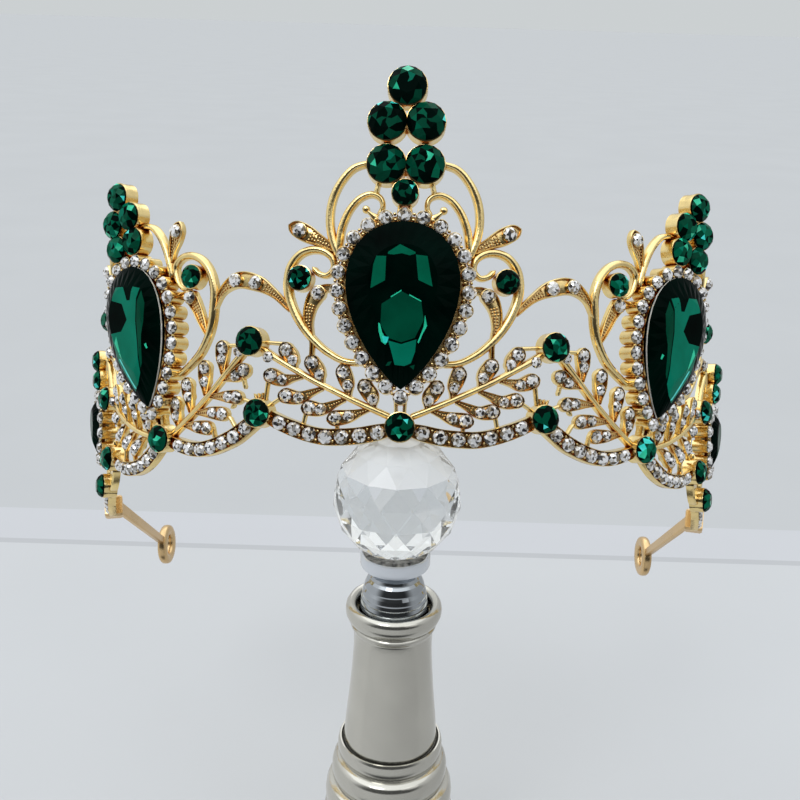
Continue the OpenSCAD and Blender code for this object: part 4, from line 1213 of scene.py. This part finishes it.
class DIADEM_OT_pear_stones(bpy.types.Operator):
    """Cuts the pear-shaped green stones"""

    bl_idname = "diadem.pear_stones"
    bl_label = "Pear stones"

    def execute(self, context):
        # A pale band round the girdle of a pear stone paints its highlight line
        tones = ((0.62, 0.62, 0.57), (0.86, 0.86, 0.8))
        highlight_band = grained_finish("girdle_painted_highlight", tones, roughness=0.25, grain=300, metallic=0.3)
        finishes = [*green_finishes(context.scene.diadem_looks), highlight_band]
        rows = [("center", 0, CENTER_PEAR, FRONT_LIGHT_PATCHES, 1)]
        for side, name in ((1, "right"), (-1, "left")):
            rows.append((name, side * SIDE_ANGLE, SIDE_PEAR, SIDE_LIGHT_PATCHES, side))
            rows.append((f"end_{name}", side * END_ANGLE, END_PEAR, END_LIGHT_PATCHES, side))
        for name, phi, pear, facets, side in rows:
            casting = Casting()
            pear_stone(casting, phi, pear)
            # Painted light of the back's facets, drawn on the crown
            paint_light_patches(casting, phi, pear, facets, side)
            casting.finish(f"cut_pear_{name}", finishes, "green_stone", [f"pear_{name}"])
        return {"FINISHED"}


class DIADEM_OT_round_stones(bpy.types.Operator):
    """Cuts the round green stones of crests, bases, links and scrolls"""

    bl_idname = "diadem.round_stones"
    bl_label = "Round green stones"

    def execute(self, context):
        looks = context.scene.diadem_looks
        casting = Casting()
        for number, (phi, x, y, r, held) in enumerate(green_spots()):
            chances = GREEN_CHANCES if abs(phi) < SIDE_ANGLE else TURNED_CHANCES
            wide, turn = r + STONE_OVER, GREEN_TURN * number
            brilliant(casting, phi, x, y, wide, held.top, chances, number, looks.green_crown, turn)
        shown = [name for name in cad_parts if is_round_green(name)]
        casting.finish("round_green_stones", green_finishes(looks), "green_stone", shown)
        return {"FINISHED"}


class DIADEM_OT_clear_stones(bpy.types.Operator):
    """Cuts the clear stones of borders, bands, leaves, petals and bridges"""

    bl_idname = "diadem.clear_stones"
    bl_label = "Clear stones"

    def execute(self, context):
        # The tones paint highlights (white, silver) and shade (warm shaded, dark) on the facets of a clear
        # stone
        # Columns: name, darker and lighter tone, share of metal
        tones = (
            ("clear_white", (0.86, 0.87, 0.88), (0.98, 0.98, 1.0), 0.35),
            ("clear_silver", (0.52, 0.51, 0.48), (0.74, 0.72, 0.68), 0.6),
            ("clear_shaded_warm", (0.18, 0.14, 0.09), (0.36, 0.3, 0.21), 0.6),
            ("clear_dark", (0.015, 0.015, 0.02), (0.06, 0.055, 0.05), 0.3),
        )
        coat = {"Coat_Weight": 0.6, "Coat_Roughness": 0.03}
        finishes = [
            grained_finish(name, (low, high), roughness=0.08, grain=500, metallic=metal, spread=0.04, **coat)
            for name, low, high, metal in tones
        ]
        casting = Casting()
        for number, (phi, x, y, r, held) in enumerate(clear_spots()):
            seed, turn = CLEAR_SEED + number, CLEAR_TURN * number
            brilliant(casting, phi, x, y, r, held.top, CLEAR_CHANCES, seed, CLEAR_CROWN, turn)
        shown = ["clear_center", "clear_right", "clear_left"]
        casting.finish("clear_stones", finishes, "clear_crystal", shown)
        return {"FINISHED"}


class DIADEM_OT_glass_ball(bpy.types.Operator):
    """Cuts the faceted glass ball"""

    bl_idname = "diadem.glass_ball"
    bl_label = "Glass ball"

    def execute(self, context):
        looks = context.scene.stand_looks
        casting = Casting()
        faceted_ball(casting, BALL_RADIUS / MM, BALL_HEIGHT / MM, looks.facet_rows, looks.facet_columns)
        # Columns: name, darker tone, clearness
        # The last tone paints the light from above on the ball's top facets
        tones = (
            ("ball_glass", 0.97, 1.0), ("ball_glass_dim", 0.84, 0.95), ("ball_glass_milky", 0.98, 0.75),
            ("ball_glass_lit_top", 1.0, 0.6),
        )
        finishes = [
            grained_finish(
                name, ((tone,) * 3, (1.0,) * 3), roughness=0.015, grain=60, metallic=0.0, spread=0.01,
                Transmission_Weight=clear, IOR=1.42,
            )
            for name, tone, clear in tones
        ]
        casting.finish("cut_glass_ball", finishes, "ball_glass", ["glass_ball"], on_ring=False)
        return {"FINISHED"}


class DIADEM_OT_stand_metal(bpy.types.Operator):
    """Turns the chrome collar and neck and the nickel pedestal"""

    bl_idname = "diadem.stand_metal"
    bl_label = "Stand"

    def execute(self, context):
        base = context.scene.stand_looks.nickel
        chrome = grained_finish(
            "chrome", ((0.36, 0.39, 0.42), (0.47, 0.5, 0.53)), roughness=0.06, grain=60, bump=0.05,
            spread=0.05,
        )
        satin = grained_finish(
            "satin_chrome", ((0.66, 0.7, 0.75), (0.76, 0.8, 0.86)), roughness=0.15, grain=60, bump=0.05,
            metallic=0.3, spread=0.05, Coat_Weight=0.5, Coat_Roughness=0.05,
        )
        # The dark dish under the ball paints the shade beneath it
        seat_shade = grained_finish(
            "dark_seat_shade", ((0.01, 0.01, 0.01), (0.5, 0.49, 0.46)), roughness=0.3, grain=900, bump=0.4,
            metallic=0.0,
        )
        # The nickel's hollows get painted shade
        nickel = grained_finish(
            "nickel", (shade(base, 0.94), shade(base, 1.05)), roughness=0.14, grain=90, bump=0.15,
            metallic=0.92, painted_shade=NICKEL_PAINTED_SHADE,
        )
        # Columns: name, profiles, their finishes, slot, replaced node, crease
        rows = (
            ("chrome_collar", (COLLAR_PROFILE, SEAT_PROFILE), [satin, seat_shade], "chrome", "ball_collar", 34),
            ("chrome_neck", (NECK_PROFILE,), [chrome], "chrome", "collar_neck", 11),
            ("nickel_pedestal", (PEDESTAL_PROFILE,), [nickel], "nickel", "pedestal", 34),
        )
        for name, profiles, finishes, slot, replaced, crease in rows:
            casting = Casting()
            for number, profile in enumerate(profiles):
                lathe(casting, solid_of(profile), STAND_STEPS, (0, 0, BALL_HEIGHT / MM), slot=number)
            casting.finish(name, finishes, slot, [replaced], crease=crease, on_ring=False)
        return {"FINISHED"}


# Half the floor's side, and how far it lies below the stand's foot
FLOOR_HALF, FLOOR_DROP = 60.0, 0.0002
# Width of the camera's sensor in millimetres, and height of the lamps in metres
SENSOR_WIDTH, LAMP_HEIGHT = 36.0, 0.5
# Columns of every soft lamp: name, strength, spread, how steeply it shines down and how far it is turned
# from shining straight back, in degrees
LAMPS = (("key_lamp", 0.3, 20, 52, -28), ("fill_lamp", 0.1, 30, 35, 45), ("back_lamp", 0.12, 30, 45, 170))
# Where the near part of the floor and the strip past it end behind the stand, and how wide the painted
# shadow lines along their edges are
NEAR_END, STRIP_END, SHADOW_LINE_WIDE = 0.184, 0.213, 0.0018
# Columns: where each part of the floor starts, and its tone. The darker parts just before each end are
# painted shadow lines, and the last is the ground past the strip's edge
ZONES = (
    (0.0, (0.95, 0.963, 0.965)), (NEAR_END - SHADOW_LINE_WIDE, (0.8, 0.81, 0.82)), (NEAR_END, (0.93, 0.94, 0.96)),
    (STRIP_END - SHADOW_LINE_WIDE, (0.84, 0.85, 0.86)), (STRIP_END, (0.85, 0.865, 0.865)),
)


class DIADEM_OT_stage(bpy.types.Operator):
    """Sets the pale floor, the soft lights and the camera"""

    bl_idname = "diadem.stage"
    bl_label = "Stage"

    def execute(self, context):
        looks = context.scene.stage_looks
        floor = bpy.data.meshes.new("floor")
        corners = ((-1, -1), (1, -1), (1, 1), (-1, 1))
        floor.from_pydata([(x * FLOOR_HALF, y * FLOOR_HALF, 0) for x, y in corners], [], [(0, 1, 2, 3)])
        floor.materials.append(floor_finish(looks.floor))
        ground = linked("floor", floor)
        ground.location.z = -FLOOR_DROP
        ground.visible_glossy = False
        for name, strength, spread, down, turn in LAMPS:
            light = bpy.data.lights.new(name, "SUN")
            light.energy, light.angle = strength * looks.key_strength, math.radians(spread)
            lamp = linked(name, light)
            lamp.rotation_euler = (math.radians(90 - down), 0, math.radians(turn))
            lamp.location = (0, 0, LAMP_HEIGHT)
        context.scene.world = studio_world()
        context.scene.view_settings.view_transform = "Standard"
        lens = bpy.data.cameras.new("camera")
        lens.lens, lens.sensor_width = looks.camera_lens, SENSOR_WIDTH
        lens.clip_start, lens.clip_end = 0.01, 3 * FLOOR_HALF
        camera = linked("camera", lens)
        down = Matrix.Rotation(math.pi / 2 - looks.camera_down, 4, "X")
        roll = Matrix.Rotation(looks.camera_roll, 4, "Z")
        camera.matrix_world = Matrix.Translation(looks.camera_at) @ down @ roll
        context.scene.camera = camera
        return {"FINISHED"}


# Light of the studio by the way it comes from: component of that way, its start and end, strength at each
LIGHT_FRONT = ("Y", -0.8, -0.25, 0.07, 1.0)
LIGHT_OVERHEAD = ("Z", 0.52, 0.75, 0.0, 1.6)
LIGHT_RISE = ("Z", 0.0, 0.8, 0.66, 1.0)
LIGHT_SIDE = ("X", -0.9, 0.9, 1.06, 0.8)
# The same for light from below, and for how much of the light from above takes its place near the level
BELOW_NEAR = ("Y", -0.5, -0.2, 0.04, 0.66)
BELOW_FAR = ("Z", -0.8, -0.66, 0.0, 0.62)
LEVEL = ("Z", -0.07, -0.01, 0, 1)
# Colours of that light and of the plain backdrop, and how much brighter the backdrop is through glass
LIGHT_COLOUR, BACKDROP, BEHIND_GLASS = (0.97, 0.99, 1.0, 1), (0.6, 0.63, 0.64, 1), 1.5


def floor_finish(colour):
    """A pale matt floor, with a strip and a greyer ground behind the stand, and painted shadow lines at their
    edges.
    """
    tones = (shade(colour, 0.985), shade(colour, 1.015))
    made = grained_finish("floor", tones, roughness=0.8, grain=9, metallic=0.0, Specular_IOR_Level=0.0)
    tree = made.node_tree
    shader = tree.nodes["Principled BSDF"]
    way = node(tree, "SeparateXYZ", Vector=node(tree, "TexCoord").outputs["Object"]).outputs["Y"]
    back = node(tree, "MapRange", Value=way).outputs["Result"]
    grain = shader.inputs["Base Color"].links[0].from_socket
    fill(shader, Base_Color=tinted(tree, grain, ramp(tree, back, ZONES, "CONSTANT")))
    return made


def studio_world():
    """Bright light from above, pale from the back and sides and dark from the front, and a plain backdrop."""
    world = bpy.data.worlds.new("studio")
    world.use_nodes = True
    tree = world.node_tree
    way = node(tree, "SeparateXYZ", Vector=node(tree, "TexCoord").outputs["Generated"]).outputs

    def light(axis, start, end, low, high):
        """A strength that passes softly from low to high between two values of the way's component."""
        soft = (("interpolation_type", "SMOOTHSTEP"),)
        limits = {"From_Min": start, "From_Max": end, "To_Min": low, "To_Max": high}
        return node(tree, "MapRange", soft, Value=way[axis], **limits).outputs["Result"]

    def joined(operation, first, second):
        """The product of two strengths, or the larger one."""
        made = node(tree, "Math", (("operation", operation),))
        tree.links.new(first, made.inputs[0])
        tree.links.new(second, made.inputs[1])
        return made.outputs["Value"]

    brighter = joined("MAXIMUM", light(*LIGHT_FRONT), light(*LIGHT_OVERHEAD))
    above = joined("MULTIPLY", brighter, light(*LIGHT_RISE))
    below = joined("MAXIMUM", light(*BELOW_NEAR), light(*BELOW_FAR))
    whole = node(tree, "Mix", Factor=light(*LEVEL), A=below, B=above).outputs["Result"]
    strength = joined("MULTIPLY", whole, light(*LIGHT_SIDE))
    studio = fill(tree.nodes["Background"], Color=LIGHT_COLOUR, Strength=strength)
    ray = node(tree, "LightPath").outputs
    glow = node(tree, "MapRange", Value=ray["Is Camera Ray"], To_Min=BEHIND_GLASS, To_Max=1.0)
    backdrop = node(tree, "Background", Color=BACKDROP, Strength=glow.outputs["Result"])
    seen = joined("MAXIMUM", ray["Is Camera Ray"], ray["Transmission Depth"])
    shown = node(tree, "MixShader", Fac=seen)
    tree.links.new(studio.outputs["Background"], shown.inputs[1])
    tree.links.new(backdrop.outputs["Background"], shown.inputs[2])
    fill(tree.nodes["World Output"], Surface=shown.outputs["Shader"])
    return world


def is_round_green(name):
    """Crest, tip, base, link and scroll stones are the round green ones."""
    return any(word in name for word in ("crest", "base_", "_base", "link_", "end_tip", "scroll_stones"))


class DIADEM_PT_panel(bpy.types.Panel):
    """Lists the pieces of the diadem and its stand"""

    bl_label = "Diadem"
    bl_idname = "DIADEM_PT_panel"
    bl_space_type = "VIEW_3D"
    bl_region_type = "UI"
    bl_category = "Diadem"

    def draw(self, context):
        for group in GROUPS:
            looks, box = getattr(context.scene, group), self.layout.box()
            for name in looks.bl_rna.properties.keys():
                if name not in ("rna_type", "name"):
                    box.prop(looks, name)
        for operator in OPERATORS:
            self.layout.operator(operator.bl_idname)


GROUPS = {"diadem_looks": DiademLooks, "stand_looks": StandLooks, "stage_looks": StageLooks}
OPERATORS = (
    DIADEM_OT_gilt_frame, DIADEM_OT_gilt_arms, DIADEM_OT_pear_stones, DIADEM_OT_round_stones,
    DIADEM_OT_clear_stones, DIADEM_OT_glass_ball, DIADEM_OT_stand_metal, DIADEM_OT_stage,
)


def register():
    for kind in (*GROUPS.values(), *OPERATORS, DIADEM_PT_panel):
        bpy.utils.register_class(kind)
    for name, group in GROUPS.items():
        setattr(bpy.types.Scene, name, bpy.props.PointerProperty(type=group))


def unregister():
    for name in GROUPS:
        delattr(bpy.types.Scene, name)
    for kind in (DIADEM_PT_panel, *reversed(OPERATORS), *GROUPS.values()):
        bpy.utils.unregister_class(kind)


def main():
    """Registers the classes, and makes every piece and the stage."""
    register()
    bpy.ops.diadem.gilt_frame()
    bpy.ops.diadem.gilt_arms()
    bpy.ops.diadem.pear_stones()
    bpy.ops.diadem.round_stones()
    bpy.ops.diadem.clear_stones()
    bpy.ops.diadem.glass_ball()
    bpy.ops.diadem.stand_metal()
    bpy.ops.diadem.stage()


if __name__ == "__main__":
    main()
